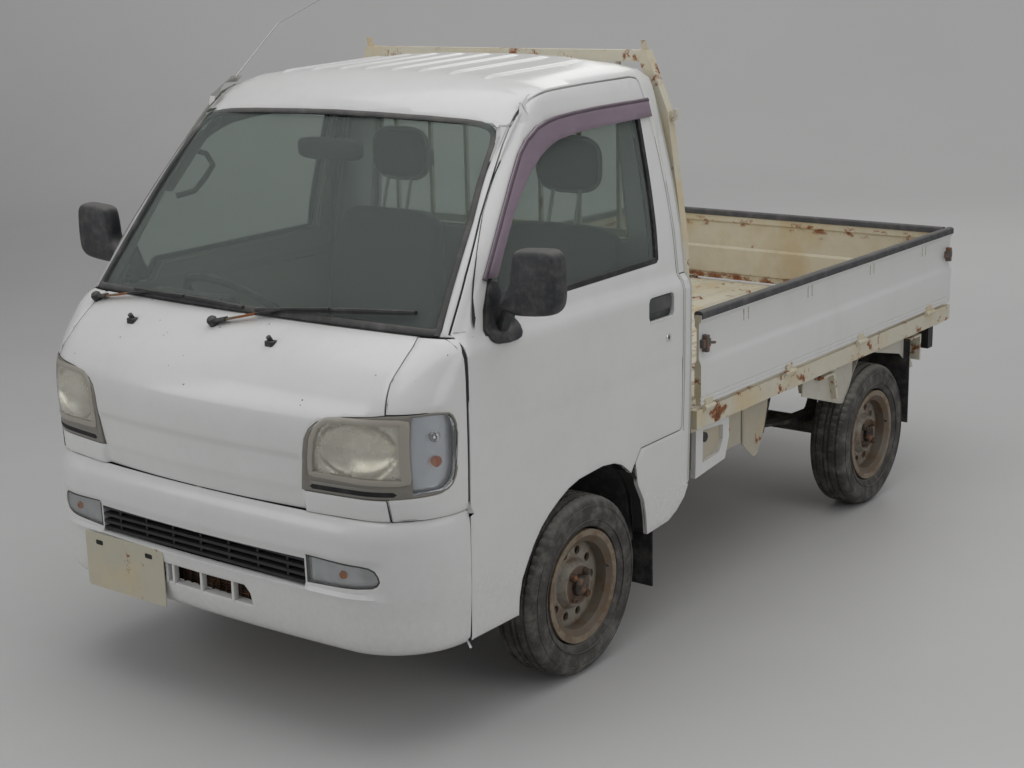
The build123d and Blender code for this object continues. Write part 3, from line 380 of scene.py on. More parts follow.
def moulded(name, color, rough=0.55, dust=0.25, grain=900):
    """Grained plastic or rubber with dust on it."""
    made = Finish(name, color, rough)
    made.blend(made.times(made.patches(0.4, 0.8, 18, 7, rough=0.7), dust), (0.30, 0.28, 0.25), 0.85)
    made.blend(made.times(made.facing_up(), dust * 0.8), (0.36, 0.34, 0.30), 0.9)
    made.bump(made.noise(grain, 3), 0.12, 0.0003)
    return made.material


def metal(name, color, rough=0.4, rust=0.0, dust=0.2):
    """Bare or thinly painted metal with rust."""
    made = Finish(name, color, rough, metal=0.85)
    if rust:
        rusty = made.patches(0.62 - 0.3 * rust, 0.75 - 0.25 * rust, 25, 8, rough=0.7)
        made.blend(rusty, RUST, 0.9)
        made.link(made.math("SUBTRACT", 0.85, rusty), made.shader.inputs["Metallic"])
    made.blend(made.times(made.patches(0.4, 0.8, 12, 6, shift=4.0), dust), DUST, 0.85)
    made.bump(made.noise(300, 3), 0.06, 0.0003)
    return made.material


def woven(name, color):
    """Seat cloth: a fine weave with worn lighter patches."""
    made = Finish(name, color, 0.85)
    made.set("Sheen Weight", 0.25)
    worn = tuple(c * 1.5 + 0.02 for c in color)
    made.blend(made.times(made.patches(0.4, 0.75, 5, 5), 0.3), worn)
    made.bump(made.times(*[made.wave(direction, 1400 / 6) for direction in "XZ"]), 0.4, 0.0006)
    return made.material


def lens(name, color, rough=0.05, flutes=0.0, film=0.3, film_color=(0.55, 0.50, 0.38)):
    """Lamp glass with a dull film, and upright flutes where it has them."""
    made = Finish(name, color, rough)
    made.set("Transmission Weight", 0.88)
    made.set("IOR", 1.18)
    made.blend(made.times(made.patches(0.35, 0.85, 22, 6), film), film_color, 0.3)
    if flutes:
        made.bump(made.wave("X", flutes), 0.5, 0.0015)
    return made.material


def window():
    """Window glass: clear, tinted, with a thin dusty film."""
    made = Finish("window_glass", (0.60, 0.655, 0.62), 0.02)
    made.set("Transmission Weight", 0.885)
    made.set("IOR", 1.06)
    made.set("Specular IOR Level", 0.9)
    made.blend(made.times(made.patches(0.35, 0.85, 7, 6, (1, 1, 0.35)), 0.1), (0.62, 0.63, 0.60), 0.12)
    return made.material


def gate(name, axis):
    """Bed paint: cream and rusty inside, white on faces that look outwards along an axis."""
    made = Finish(name, (0.62, 0.57, 0.44), 0.5)
    made.blend(made.times(made.patches(0.42, 0.7, 4.5, 6, shift=3.0), 0.7), (0.52, 0.40, 0.21), 0.65)
    cloud = made.noise(8, 9, (1, 0.45, 1.6), rough=0.72, shift=5.0)
    low = made.along("Z", 0.70, 0.675)
    high = made.times(made.along("Z", 0.885, 0.90), made.along("Z", 0.935, 0.92))
    for zone, edge in ((low, 0.47), (high, 0.53)):
        made.blend(made.times(made.ramp(cloud, edge, edge + 0.07), zone), RUST, 0.9)
        made.blend(made.times(made.ramp(cloud, edge + 0.09, edge + 0.15), zone), RUST_DARK, 0.95)
    made.blend(made.ramp(cloud, 0.63, 0.67), RUST, 0.9)
    made.blend(made.times(made.patches(0.42, 0.8, 14, 8, rough=0.75, shift=7.0), 0.35), DUST, 0.8)
    made.blend(made.facing_out(axis), SIDE_WHITE, 0.3)
    if axis == "X":
        made.blend(made.times(made.patches(0.5, 0.85, 5, 7, (1, 1, 0.5)), 0.25), DUST)
    return made.material


def shell():
    """The cab's frame: body white darkened inside as painted shade, near-black painted shade on its outer
    faces where they show in the gaps, at the front and below, and white on the back and roof.
    """
    made = Finish("shell_paint_and_shade", SHADED_INNER_WHITE, 0.5)
    # Painted shade: near-black on the outward faces under the skins, at the front and below 0.62 m, so that
    # the gaps and the underside look dark
    made.blend(made.facing_out(), (0.035, 0.035, 0.035), 0.8)
    made.blend(made.along("Z", 0.66, 0.62), (0.035, 0.033, 0.03), 0.85)
    made.blend(made.along("Y", -1.35, -1.42), (0.03, 0.03, 0.03), 0.8)
    made.blend(made.along("Y", -0.364, -0.362), SIDE_WHITE, 0.3)
    made.blend(made.times(made.facing_out(), made.along("Z", 1.50, 1.51)), (0.66, 0.66, 0.64), 0.3)
    return made.material


def wheel():
    """Silver-grey steel, tan at the lip, brown and rusty round the hub."""
    made = Finish("wheel_paint", (0.30, 0.275, 0.225), 0.45, metal=0.2)
    distance = made.hub_distance()
    made.blend(made.times(made.ramp(distance, 0.115, 0.135), 0.9), (0.115, 0.085, 0.058), 0.75)
    made.blend(made.ramp(distance, 0.146, 0.152), (0.26, 0.205, 0.145), 0.55)
    made.blend(made.times(made.patches(0.45, 0.62, 16, 7, rough=0.7), 0.75), (0.15, 0.085, 0.045), 0.85)
    made.blend(made.times(made.patches(0.4, 0.75, 11, 7, shift=3.0), 0.5), (0.20, 0.185, 0.155), 0.85)
    made.blend(made.times(made.ramp(distance, 0.064, 0.052), 0.85), (0.10, 0.058, 0.035), 0.85)
    made.blend(made.ramp(distance, 0.036, 0.030), (0.02, 0.02, 0.02), 0.7)
    return made.material


def tinted():
    """Smoked acrylic, with a painted highlight: paler where it looks up."""
    made = Finish("visor_tint", (0.175, 0.125, 0.155), 0.2, coat=0.5)
    made.blend(made.times(made.patches(0.3, 0.75, 5, 5, (1, 1, 2)), 0.6), (0.26, 0.19, 0.25), 0.3)
    # Painted highlight: lighter where the visor faces up
    made.blend(made.times(made.facing_up(0.0, 0.9), 0.75), (0.38, 0.29, 0.36), 0.25)
    return made.material


def mirrored():
    """The main lamp's reflector, dull in patches."""
    made = Finish("reflector", (0.78, 0.76, 0.68), 0.24, metal=0.6)
    made.blend(made.times(made.patches(0.35, 0.7, 9, 4), 0.6), (0.66, 0.62, 0.52), 0.4)
    return made.material


def turn_lamp_back():
    """Dimpled metal behind the side and clearance lamps."""
    made = Finish("turn_back", (0.60, 0.62, 0.64), 0.3, metal=0.6)
    made.bump(made.noise(160, 2), 0.2, 0.0008)
    return made.material


def tail_lamp():
    """A dark housing with red glass on its rear face."""
    made = Finish("tail_lens", (0.02, 0.02, 0.02), 0.5)
    facing_back = made.ramp(made.split(made.coordinates.outputs["Normal"])["Y"], 0.5, 0.7)
    made.blend(facing_back, (0.42, 0.014, 0.010), 0.15)
    return made.material


gate_white, tail_white = gate("gate_paint", "X"), gate("tail_gate_paint", "Y")
body_white = painted("body_white", (0.72, 0.72, 0.695), 0.24, 0.35, dirt=0.06, low_dirt=0.25, chips=True)
bumper_white = painted("bumper_white", (0.70, 0.70, 0.68), 0.32, 0.2, dirt=0.08, low_dirt=0.3)
shaded_inner_white = painted("shaded_inner_white", SHADED_INNER_WHITE, 0.5, dirt=0.2)
bed_cream = painted("bed_cream", (0.64, 0.60, 0.48), 0.5, dirt=0.3, rust=0.75, yellow=0.6)
frame_cream = painted("frame_cream", (0.50, 0.46, 0.36), 0.6, dirt=0.5, rust=0.5, yellow=0.35, low_dirt=0.5)
plate_cream = painted("plate_cream", (0.52, 0.49, 0.38), 0.5, dirt=0.4, rust=0.55, yellow=0.6)
wing_cream = painted("wing_cream", (0.56, 0.54, 0.46), 0.55, dirt=0.6, rust=0.2, low_dirt=0.8)
under_black = painted("under_black", (0.035, 0.034, 0.032), 0.6, dirt=0.55, rust=0.3)
lamp_frame = painted("lamp_frame", (0.20, 0.185, 0.16), 0.42, 0.2, dirt=0.2)
lamp_beige = painted("lamp_beige", (0.36, 0.33, 0.28), 0.38, 0.2, dirt=0.15)
shell_paint_and_shade, wheel_paint, window_glass = shell(), wheel(), window()
visor_tint, reflector, turn_back, tail_lens = tinted(), mirrored(), turn_lamp_back(), tail_lamp()
cast_iron = metal("cast_iron", (0.12, 0.115, 0.11), 0.6, rust=0.3, dust=0.5)
dull_steel = metal("dull_steel", (0.45, 0.44, 0.42), 0.35, rust=0.15)
rusty_steel = metal("rusty_steel", (0.25, 0.20, 0.16), 0.6, rust=0.9)
bright_metal = metal("bright_metal", (0.78, 0.78, 0.76), 0.12, dust=0.02)
hub_dark = metal("hub_dark", (0.05, 0.045, 0.04), 0.6, rust=0.5, dust=0.35)
cooler_brown = metal("cooler_brown", (0.06, 0.035, 0.022), 0.7, rust=0.35, dust=0.3)
latch_metal = metal("latch_metal", (0.16, 0.15, 0.14), 0.5, rust=0.45)
# Near-black for the panels that show only through the gaps between the skins: painted shade
painted_gap_shade = moulded("painted_gap_shade", (0.02, 0.02, 0.02), 0.8, dust=0.15)
floor_black = moulded("floor_black", (0.035, 0.034, 0.033), 0.85)
grille_black = moulded("grille_black", (0.010, 0.011, 0.013), dust=0.06)
# Near-black for the lamp vent, the key slot and the plate's bolt slots: painted shade in openings
opening_shade_black = moulded("opening_shade_black", (0.008, 0.008, 0.008), 0.8, dust=0.1)
black_plastic = moulded("black_plastic", (0.018, 0.018, 0.019), 0.5)
grey_plastic = moulded("grey_plastic", (0.075, 0.075, 0.078), 0.6)
handle_grey = moulded("handle_grey", (0.060, 0.066, 0.064), 0.5)
mirror_black = moulded("mirror_black", (0.022, 0.024, 0.026), 0.48, dust=0.35)
visor_dark = moulded("visor_dark", (0.085, 0.055, 0.078), 0.3, dust=0.2)
piping_grey = moulded("piping_grey", (0.30, 0.31, 0.30), 0.6)
black_rubber = moulded("black_rubber", (0.016, 0.016, 0.016), 0.7, dust=0.3)
cap_rubber = moulded("cap_rubber", (0.050, 0.052, 0.055), 0.7, dust=0.3)
seal_grey = moulded("seal_grey", (0.030, 0.031, 0.032), 0.62, dust=0.35)
tyre_rubber = moulded("tyre_rubber", (0.050, 0.047, 0.042), 0.85, dust=0.55, grain=500)
seat_cloth = woven("seat_cloth", (0.055, 0.06, 0.065))
headrest_cloth = woven("headrest_cloth", (0.028, 0.031, 0.034))
fluted_glass = lens("fluted_glass", (0.92, 0.91, 0.86), flutes=28, film_color=(0.56, 0.53, 0.46))
clear_lens = lens("clear_lens", (0.90, 0.92, 0.94), 0.04, flutes=20, film=0.35, film_color=(0.55, 0.57, 0.60))
grey_lens = lens("grey_lens", (0.80, 0.80, 0.79), 0.14, flutes=40, film=0.85, film_color=(0.50, 0.50, 0.48))
amber = lens("amber", (0.85, 0.26, 0.04), 0.15, film=0.15)
red_lens = lens("red_lens", (0.50, 0.02, 0.015), 0.12, flutes=35, film=0.2, film_color=(0.30, 0.05, 0.04))

SLOT_MATERIALS = {
    "body_paint": shell_paint_and_shade, "cab_inner_paint": shaded_inner_white, "bumper_paint": bumper_white,
    "bed_paint": bed_cream, "frame_paint": frame_cream, "plate_steel": frame_cream,
    "clear_glass": window_glass, "lamp_glass": window_glass, "grey_plastic": grey_plastic,
    "black_plastic": black_plastic, "red_plastic": red_lens, "purple_acrylic": visor_tint,
    "seat_vinyl": seat_cloth, "black_rubber": black_rubber, "black_steel": under_black,
    "rusty_steel": rusty_steel, "bare_steel": dull_steel, "cast_metal": cast_iron,
    "wheel_steel": wheel_paint, "tyre_rubber": tyre_rubber,
}
NODE_MATERIALS = {
    "front_panel": painted_gap_shade, "corner_panels": painted_gap_shade, "cab_floor": floor_black,
    "bumper_grille": grille_black, "plate_bracket": plate_cream, "tail_lamps": tail_lens,
    "roof_panel": shaded_inner_white,
}
for row in frame["record"]["subparts"]:
    mesh = nodes[row["node"]].data
    mesh.materials.clear()
    mesh.materials.append(NODE_MATERIALS.get(row["node"], SLOT_MATERIALS[row["material_slot"]]))


def set_camera():
    """The photograph's place and direction; its frame is 1024 by 768 pixels."""
    place, target = at(3302.1, -2884.1, 2005.2), at(202.1, 1173.9, 723.1)
    roll, focal_pixels, frame_width, sensor = -0.022, 1668.3, 1024, 36.0
    forward = (target - place).normalized()
    right = forward.cross(Vector((0, 0, 1))).normalized()
    up = right.cross(forward)
    across = right * math.cos(roll) + up * math.sin(roll)
    over = up * math.cos(roll) - right * math.sin(roll)
    camera = bpy.data.objects.new("camera", bpy.data.cameras.new("camera"))
    camera.data.lens = focal_pixels * sensor / frame_width
    camera.data.sensor_width = sensor
    turn = Matrix((across, over, -forward)).transposed().to_4x4()
    camera.matrix_world = Matrix.Translation(place) @ turn
    bpy.context.scene.collection.objects.link(camera)
    bpy.context.scene.camera = camera


def set_light():
    """A pale room: an even surround and large soft lamps overhead and in front."""
    world = bpy.data.worlds.new("room")
    world.use_nodes = True
    back = world.node_tree.nodes["Background"]
    back.inputs["Color"].default_value = (0.93, 0.95, 1.0, 1)
    back.inputs["Strength"].default_value = 0.34
    bpy.context.scene.world = world
    lamps = [
        ("overhead", (0.5, -0.6, 5.2), (0.0, -0.2, 0.6), 6.0, 112),
        ("front", (-3.6, -6.2, 3.6), (0.0, -0.8, 0.8), 4.0, 80),
        ("side", (6.5, -0.5, 3.2), (0.2, 0.2, 0.7), 4.0, 58),
        ("rear", (-2.0, 6.5, 4.5), (0.0, 0.5, 0.8), 4.0, 52),
    ]
    for name, place, aim, size, power in lamps:
        data = bpy.data.lights.new(name, "AREA")
        data.size = size
        data.energy = power
        lamp = bpy.data.objects.new(name, data)
        lamp.location = place
        lamp.rotation_euler = (Vector(aim) - Vector(place)).to_track_quat("-Z", "Y").to_euler()
        bpy.context.scene.collection.objects.link(lamp)


def set_floor():
    """A pale floor that sweeps up into a wall far behind the truck."""
    pale = (0.55, 0.545, 0.53)
    made = Finish("floor_paint", pale, 0.55)
    made.blend(made.times(made.patches(0.35, 0.7, 0.8, 4), 0.3), (0.49, 0.485, 0.47))
    made.set("Emission Color", (*pale, 1))
    made.link(made.times(made.along("Y", 1.5, 10), 0.24), made.shader.inputs["Emission Strength"])
    away, across = Vector((-0.607, 0.795, 0)), Vector((0.795, 0.607, 0))
    half, start, bend, top = 30, 9.0, 5.0, 16
    profile = [(-half, 0), (0, 0), (start, 0)]
    profile += [(start + bend * math.sin(math.radians(a)), bend * (1 - math.cos(math.radians(a))))
                for a in range(6, 91, 6)]
    profile.append((start + bend, top))
    verts = [away * reach + across * side + Vector((0, 0, height))
             for reach, height in profile for side in (-half, half)]
    faces = [(i, i + 1, i + 3, i + 2) for i in range(0, len(verts) - 2, 2)]
    mesh = bpy.data.meshes.new("floor")
    mesh.from_pydata(verts, [], faces)
    mesh.shade_smooth()
    mesh.materials.append(made.material)
    floor = bpy.data.objects.new("floor", mesh)
    bpy.context.scene.collection.objects.link(floor)


set_camera()
set_light()
set_floor()
bpy.context.scene.view_settings.view_transform = "Standard"


# The cab's outer surface: smooth between plan sections, with a rounded roof.
# Columns: height, half width, nose behind the bumper, bow of the front, width of the round corner
CAB_SECTIONS = np.array([
    (200, 720, 30, 44, 175), (640, 731, 16, 44, 175), (835, 735, 8, 44, 175), (905, 735, 18, 44, 170),
    (955, 735, 48, 42, 160), (1005, 735, 98, 40, 140), (1050, 735, 162, 36, 105), (1078, 727, 208, 32, 85),
    (1097, 711, 243, 26, 78), (1225, 696, 343, 24, 76), (1350, 672, 441, 23, 75), (1475, 642, 538, 24, 75),
    (1596, 610, 633, 28, 75), (1760, 558, 761, 32, 75),
], dtype=float)
SHOULDER = 1097
CAB_REAR = 1388
DOME_Z = 1590  # above this height the surface is found along rays that fan up to the roof's ridge
ROLL_SPAN = 90
DOME_SPAN = 650
DOME_RISE = 135
RIDGE = (850, 1290)
FAN_X = 470
REAR_ROUND, BROW_ROUND, ROOF_ROUND = 14, 6, 26


def slopes(xs, ys):
    """Slopes of a smooth curve through points that never overshoots them."""
    steps = np.diff(ys) / np.diff(xs)
    found = np.concatenate(([steps[0]], np.zeros(len(xs) - 2), [steps[-1]]))
    for k in range(1, len(xs) - 1):
        if steps[k - 1] * steps[k] > 0:
            found[k] = 2 / (1 / steps[k - 1] + 1 / steps[k])
    return found


def smooth_table(table):
    """A function that gives a table's columns at heights, smoothly."""
    xs = table[:, 0]
    marks = [slopes(xs, table[:, c]) for c in range(1, table.shape[1])]

    def read(z):
        k = np.clip(np.searchsorted(xs, z) - 1, 0, len(xs) - 2)
        width = xs[k + 1] - xs[k]
        t = (z - xs[k]) / width
        values = []
        for c, slope in enumerate(marks, 1):
            values.append((2 * t**3 - 3 * t**2 + 1) * table[k, c] + (t**3 - 2 * t**2 + t) * width * slope[k]
                          + (3 * t**2 - 2 * t**3) * table[k + 1, c] + (t**3 - t**2) * width * slope[k + 1])
        return values
    return read


crease_row = list(CAB_SECTIONS[:, 0]).index(SHOULDER)
read_low = smooth_table(CAB_SECTIONS[:crease_row + 1])
read_high = smooth_table(CAB_SECTIONS[crease_row:])


def section_at(z):
    """Half width, nose, bow and corner of the plan sections at heights."""
    low, high = read_low(np.minimum(z, SHOULDER)), read_high(np.maximum(z, SHOULDER))
    return [np.where(z <= SHOULDER, a, b) for a, b in zip(low, high)]


def soft_max(a, b, round_off):
    """The larger of two distances, with the corner between them rounded."""
    over_a, over_b = np.maximum(round_off + a, 0), np.maximum(round_off + b, 0)
    return np.minimum(-round_off, np.maximum(a, b)) + np.hypot(over_a, over_b)


def roof_height(x, y):
    """The roof's height: the brow's arc, a slow rise and the drop at the rear, crowned across."""
    brow_y, brow_z, brow_round = 876.4, 1413.4, 305.7
    arc_start, arc_end, steep, rise = 644, 863.7, 0.9, 0.0417
    drop_y, drop_z, drop_slope, drop_round = 1330, 1738, 0.83, 25
    crown = 36 * np.abs(x / 575) ** 2.4
    y = y - 26 * (x / 535) ** 2
    reach = brow_y - np.clip(y, arc_start, arc_end)
    arc = brow_z + np.sqrt(brow_round**2 - reach**2)
    front = arc + steep * np.minimum(y - arc_start, 0) + rise * np.maximum(y - arc_end, 0)
    drop = drop_z - (y - drop_y) * drop_slope
    return -soft_max(-front, -drop, drop_round) - crown


def plan(half, nose, bow, corner):
    """Of a section seen from above: the bow's radius and half angle, the corner's radius and its centre."""
    inner = half - corner
    bow_round = (inner**2 + bow**2) / (2 * bow)
    lean = np.arcsin(inner / bow_round)
    turn = corner / (1 - np.sin(lean))
    return bow_round, lean, turn, half - turn, nose + bow + turn * np.cos(lean)


def cab_field(x, y, z):
    """Distance outside the cab's surface, in millimetres."""
    half, nose, bow, corner = section_at(z)
    bow_round, _, turn, corner_x, corner_y = plan(half, nose, bow, corner)
    front = np.hypot(x, y - nose - bow_round) - bow_round
    away_x, away_y = x - corner_x, y - corner_y
    corner_gap = np.hypot(away_x, away_y) - turn
    on_corner = corner_x * away_y - (corner_y - nose - bow_round) * away_x > 0
    gap = np.where(away_y >= 0, x - half, np.where(on_corner & (away_x > 0), corner_gap, front))
    sideways = np.where(away_y >= 0, 1.0, np.clip(away_x / turn, 0, 1))
    share = sideways * sideways * (3 - 2 * sideways)
    gap = soft_max(gap, y - CAB_REAR, REAR_ROUND)
    return soft_max(gap, z - roof_height(x, y), BROW_ROUND + (ROOF_ROUND - BROW_ROUND) * share)


def cab_point(u, v):
    """Points of the surface. u runs round from the front's centre (0) by corner (1-2), side (2-3), rear
    corner (3-4) and back (4-5); v is the height, and above DOME_Z the way up to the ridge."""
    z = np.minimum(v, DOME_Z)
    half, nose, bow, corner = section_at(z)
    fan_y = nose + bow + corner * 1.2 + 20
    rear_y = CAB_REAR - 40
    turn = np.where(u < 2, np.clip(u - 1, 0, 1), 1 + np.clip(u - 3, 0, 1)) * math.pi / 2
    x = np.where(u < 1, u, np.where(u > 4, 5 - u, 1)) * FAN_X
    y = np.where(u < 2, fan_y, np.where(u > 3, rear_y, fan_y + (rear_y - fan_y) * (u - 2)))
    start = np.stack([x, y, z], axis=-1)
    way = np.stack([np.sin(turn), -np.cos(turn), 0 * turn], axis=-1)
    rim = march(start, way, 420.0)
    over = np.clip(v - DOME_Z, 0, DOME_SPAN)
    roll = math.atan2(DOME_RISE, DOME_SPAN - ROLL_SPAN) / ROLL_SPAN
    climb = np.where(over < ROLL_SPAN, over * roll, np.arctan2(DOME_RISE, DOME_SPAN - over))
    middle = np.stack([0 * x, np.clip(rim[..., 1], *RIDGE), z], axis=-1)
    out = rim - middle
    out = out / np.linalg.norm(out, axis=-1, keepdims=True)
    way = out * np.cos(climb)[..., None] + np.array([0, 0, 1]) * np.sin(climb)[..., None]
    top = march(middle, way, 900.0)
    return np.where((v > DOME_Z)[..., None], top, rim)


def march(start, way, reach):
    """Where rays from inside the cab meet its surface."""
    near, far = np.zeros(start.shape[:-1]), np.full(start.shape[:-1], reach)
    for _ in range(26):
        middle = (near + far) / 2
        spot = start + way * middle[..., None]
        inside = cab_field(spot[..., 0], spot[..., 1], spot[..., 2]) < 0
        near, far = np.where(inside, middle, near), np.where(inside, far, middle)
    return start + way * ((near + far) / 2)[..., None]


def inside_loop(points, loop):
    """Which points lie inside a closed loop."""
    x, y = points[:, 0], points[:, 1]
    inside = np.zeros(len(points), bool)
    for (x1, y1), (x2, y2) in zip(loop, np.roll(loop, -1, axis=0)):
        if y1 == y2:
            continue
        crosses = (y1 > y) != (y2 > y)
        inside ^= crosses & (x < (x2 - x1) * (y - y1) / (y2 - y1) + x1)
    return inside


def loop_gap(points, loop):
    """Distance of points from a closed loop."""
    nearest = np.full(len(points), 1e9)
    for a, b in zip(loop, np.roll(loop, -1, axis=0)):
        run = b - a
        share = np.clip(((points - a) @ run) / max(run @ run, 1e-9), 0, 1)
        nearest = np.minimum(nearest, np.linalg.norm(points - a - share[:, None] * run, axis=1))
    return nearest


def inset_loop(loop, distance):
    """A closed loop moved inwards."""
    area = np.sum(loop[:, 0] * np.roll(loop[:, 1], -1) - np.roll(loop[:, 0], -1) * loop[:, 1])
    along = np.roll(loop, -1, axis=0) - np.roll(loop, 1, axis=0)
    along /= np.maximum(np.linalg.norm(along, axis=1, keepdims=True), 1e-9)
    inward = np.stack([-along[:, 1], along[:, 0]], axis=1) * (1 if area > 0 else -1)
    return loop + inward * distance


def cab_slope(points):
    """Outward directions of the cab's surface at points of its left half."""
    step = 0.5
    x, y, z = (points[..., i] for i in range(3))
    slope = np.stack([
        cab_field(x + step, y, z) - cab_field(x - step, y, z),
        cab_field(x, y + step, z) - cab_field(x, y - step, z),
        cab_field(x, y, z + step) - cab_field(x, y, z - step),
    ], axis=-1)
    return slope / np.linalg.norm(slope, axis=-1, keepdims=True)


class Surface:
    """A smooth form given by point(u, v), with panels, seals and lines laid on its left half."""

    def __init__(self, point, us, vs, marks, slope=None):
        self.point, self.marks, self.slope = point, marks, slope
        self.labels = np.stack(np.meshgrid(us, vs, indexing="ij"), axis=-1).reshape(-1, 2)
        self.table = point(self.labels[:, 0], self.labels[:, 1])
        self.low, self.high = self.labels.min(axis=0), self.labels.max(axis=0)

    def normals(self, u, v):
        """Outward directions, from the slope at a place or the change of place with u and v."""
        if self.slope:
            return self.slope(self.point(u, v))
        low, high = self.low, self.high
        u_0, u_1 = np.maximum(u - 2e-3, low[0]), np.minimum(u + 2e-3, high[0])
        v_0, v_1 = np.maximum(v - 1.0, low[1]), np.minimum(v + 1.0, high[1])
        out = np.cross(self.point(u_1, v) - self.point(u_0, v), self.point(u, v_1) - self.point(u, v_0))
        size = np.linalg.norm(out, axis=-1, keepdims=True)
        return np.where(size > 1e-9, out / np.maximum(size, 1e-9), [0.0, 0.0, 1.0])

    def trace(self, view, line, spacing=12.0, closed=True):
        """The (u, v) of a line drawn in side view (behind, height) or front view (across, height)."""
        line = [np.array(p, float) for p in line]
        dense = []
        for a, b in zip(line, line[1:] + line[:1] if closed else line[1:]):
            steps = max(1, int(np.linalg.norm(b - a) / spacing))
            dense += [a + (b - a) * s / steps for s in range(steps)]
        if not closed:
            dense.append(line[-1])
        target = np.array(dense)
        axes, first, last = ([1, 2], 0.85, 3.4) if view == "side" else ([0, 2], -1, 2.2)
        facing = (self.labels[:, 0] > first) & (self.labels[:, 0] <= last)
        found = self.closest(target, facing, axes)
        for _ in range(10):
            miss, by_u, by_v = self.slopes_at(found, target, axes)
            area = by_u[:, 0] * by_v[:, 1] - by_u[:, 1] * by_v[:, 0]
            area = np.where(np.abs(area) < 1e-6, 1e-6, area)
            step_u = (miss[:, 0] * by_v[:, 1] - miss[:, 1] * by_v[:, 0]) / area
            step_v = (by_u[:, 0] * miss[:, 1] - by_u[:, 1] * miss[:, 0]) / area
            self.move(found, step_u, step_v, 0.1, 40)
        return found

    def closest(self, target, kept, axes):
        """The (u, v) in the table whose places lie closest to targets, along some axes."""
        flat, labels = self.table[kept][:, axes], self.labels[kept]
        return np.array([labels[np.argmin(((flat - t) ** 2).sum(axis=1))] for t in target])

    def slopes_at(self, found, target, axes):
        """What targets are away from places, and how these places change with u and v."""
        u, v = found.T
        here = self.point(u, v)[:, axes]
        by_u = (self.point(u + 1e-3, v)[:, axes] - here) / 1e-3
        by_v = (self.point(u, v + 0.5)[:, axes] - here) / 0.5
        return target - here, by_u, by_v

    def move(self, found, step_u, step_v, most_u, most_v):
        """Moves (u, v) by a limited step, inside the surface."""
        step = np.stack([np.clip(step_u, -most_u, most_u), np.clip(step_v, -most_v, most_v)], axis=1)
        found[:] = np.clip(found + step, self.low, self.high)

    def nearest(self, places):
        """The (u, v) of the surface's places nearest to a list of places."""
        target, axes = np.array(places, float), [0, 1, 2]
        found = self.closest(target, slice(None), axes)
        for _ in range(8):
            miss, by_u, by_v = self.slopes_at(found, target, axes)
            uu, uv, vv = (by_u * by_u).sum(1), (by_u * by_v).sum(1), (by_v * by_v).sum(1)
            mu, mv = (miss * by_u).sum(1), (miss * by_v).sum(1)
            area = np.maximum(uu * vv - uv * uv, 1e-6)
            self.move(found, (mu * vv - mv * uv) / area, (mv * uu - mu * uv) / area, 0.05, 20)
        return found

    def flat(self, loop):
        """A line of (u, v) with both coordinates close to millimetres."""
        loop = np.array(loop)
        return np.stack([np.interp(loop[:, 0], *self.marks), loop[:, 1]], axis=1)

    def curved(self, flat):
        """The (u, v) of flat coordinates."""
        return np.stack([np.interp(flat[:, 0], self.marks[1], self.marks[0]), flat[:, 1]], axis=1)

    def shrunk(self, loop, distance):
        """A closed loop of (u, v) drawn in by a distance."""
        return self.curved(inset_loop(self.flat(loop), distance))

    def spot(self, view, place, lift=0.0, sign=1):
        """The place above the surface at a point drawn in a view, on one side of the truck."""
        u, v = self.trace(view, [place, (place[0] + 1, place[1])], closed=False)[:1].T
        x, y, z = (self.point(u, v) + self.normals(u, v) * lift)[0]
        return Vector((sign * x, y, z))

    def skin(self, outline, holes=(), lift=1.5, grid=16.0, flange=14.0, mirror=False, dent=None, edge=2.2,
             both=False, form=None):
        """A panel inside a loop of (u, v), with holes and rounded, turned-in edges."""
        form = form or Form()
        loops = [self.flat(outline)] + [self.flat(h) for h in holes]
        box_low, box_high = loops[0].min(axis=0), loops[0].max(axis=0)
        lines = [np.arange(a + grid / 2, b, grid) for a, b in zip(box_low, box_high)]
        inner = np.stack(np.meshgrid(*lines, indexing="ij"), axis=-1).reshape(-1, 2)
        keep = inside_loop(inner, loops[0])
        for k, loop in enumerate(loops):
            keep &= (loop_gap(inner, loop) > grid * 0.4 + edge) & ((k == 0) | ~inside_loop(inner, loop))
        points, edges, spans = [], [], []
        for k, loop in enumerate(loops):
            for part in (loop, inset_loop(loop, edge if k == 0 else -edge)):
                start = len(points)
                points += [tuple(p) for p in part]
                edges += [(start + i, start + (i + 1) % len(part)) for i in range(len(part))]
                spans.append((start, len(part)))
        points += [tuple(p) for p in inner[keep]]
        result = delaunay_2d_cdt([Vector(p) for p in points], edges, [], 0, 1e-4)
        places = np.array([tuple(v) for v in result[0]])
        triangles = np.array([list(f) for f in result[2]])
        centres = places[triangles].mean(axis=1)
        keep = inside_loop(centres, loops[0])
        for hole in loops[1:]:
            keep &= ~inside_loop(centres, hole)
        u, v = self.curved(places).T
        surface, out = self.point(u, v), self.normals(u, v)
        height = np.full(len(surface), float(lift))
        if dent is not None:
            height += dent(surface[:, 0], surface[:, 1], surface[:, 2])
        middle = (np.abs(surface[:, 0]) < 0.6) & both
        rims = [i for i, sources in enumerate(result[3])
                if not middle[i] and any(start <= s < start + n for s in sources for start, n in spans[::2])]
        height[rims] -= min(1.0, edge * 0.5)
        out[middle, 0] = 0
        surface[middle, 0] = 0
        verts = [tuple(p) for p in surface + out * height[:, None]]
        faces = [tuple(int(i) for i in t) for t in triangles[keep]]
        used = {(a, b) for tri in faces for a, b in zip(tri, tri[1:] + tri[:1])}
        below = {}
        for a, b in sorted(used):
            if (b, a) in used or (middle[a] and middle[b]):
                continue
            for i in (a, b):
                if i not in below:
                    below[i] = len(verts)
                    verts.append(tuple(surface[i] + out[i] * (height[i] - flange)))
            faces.append((b, a, below[a], below[b]))
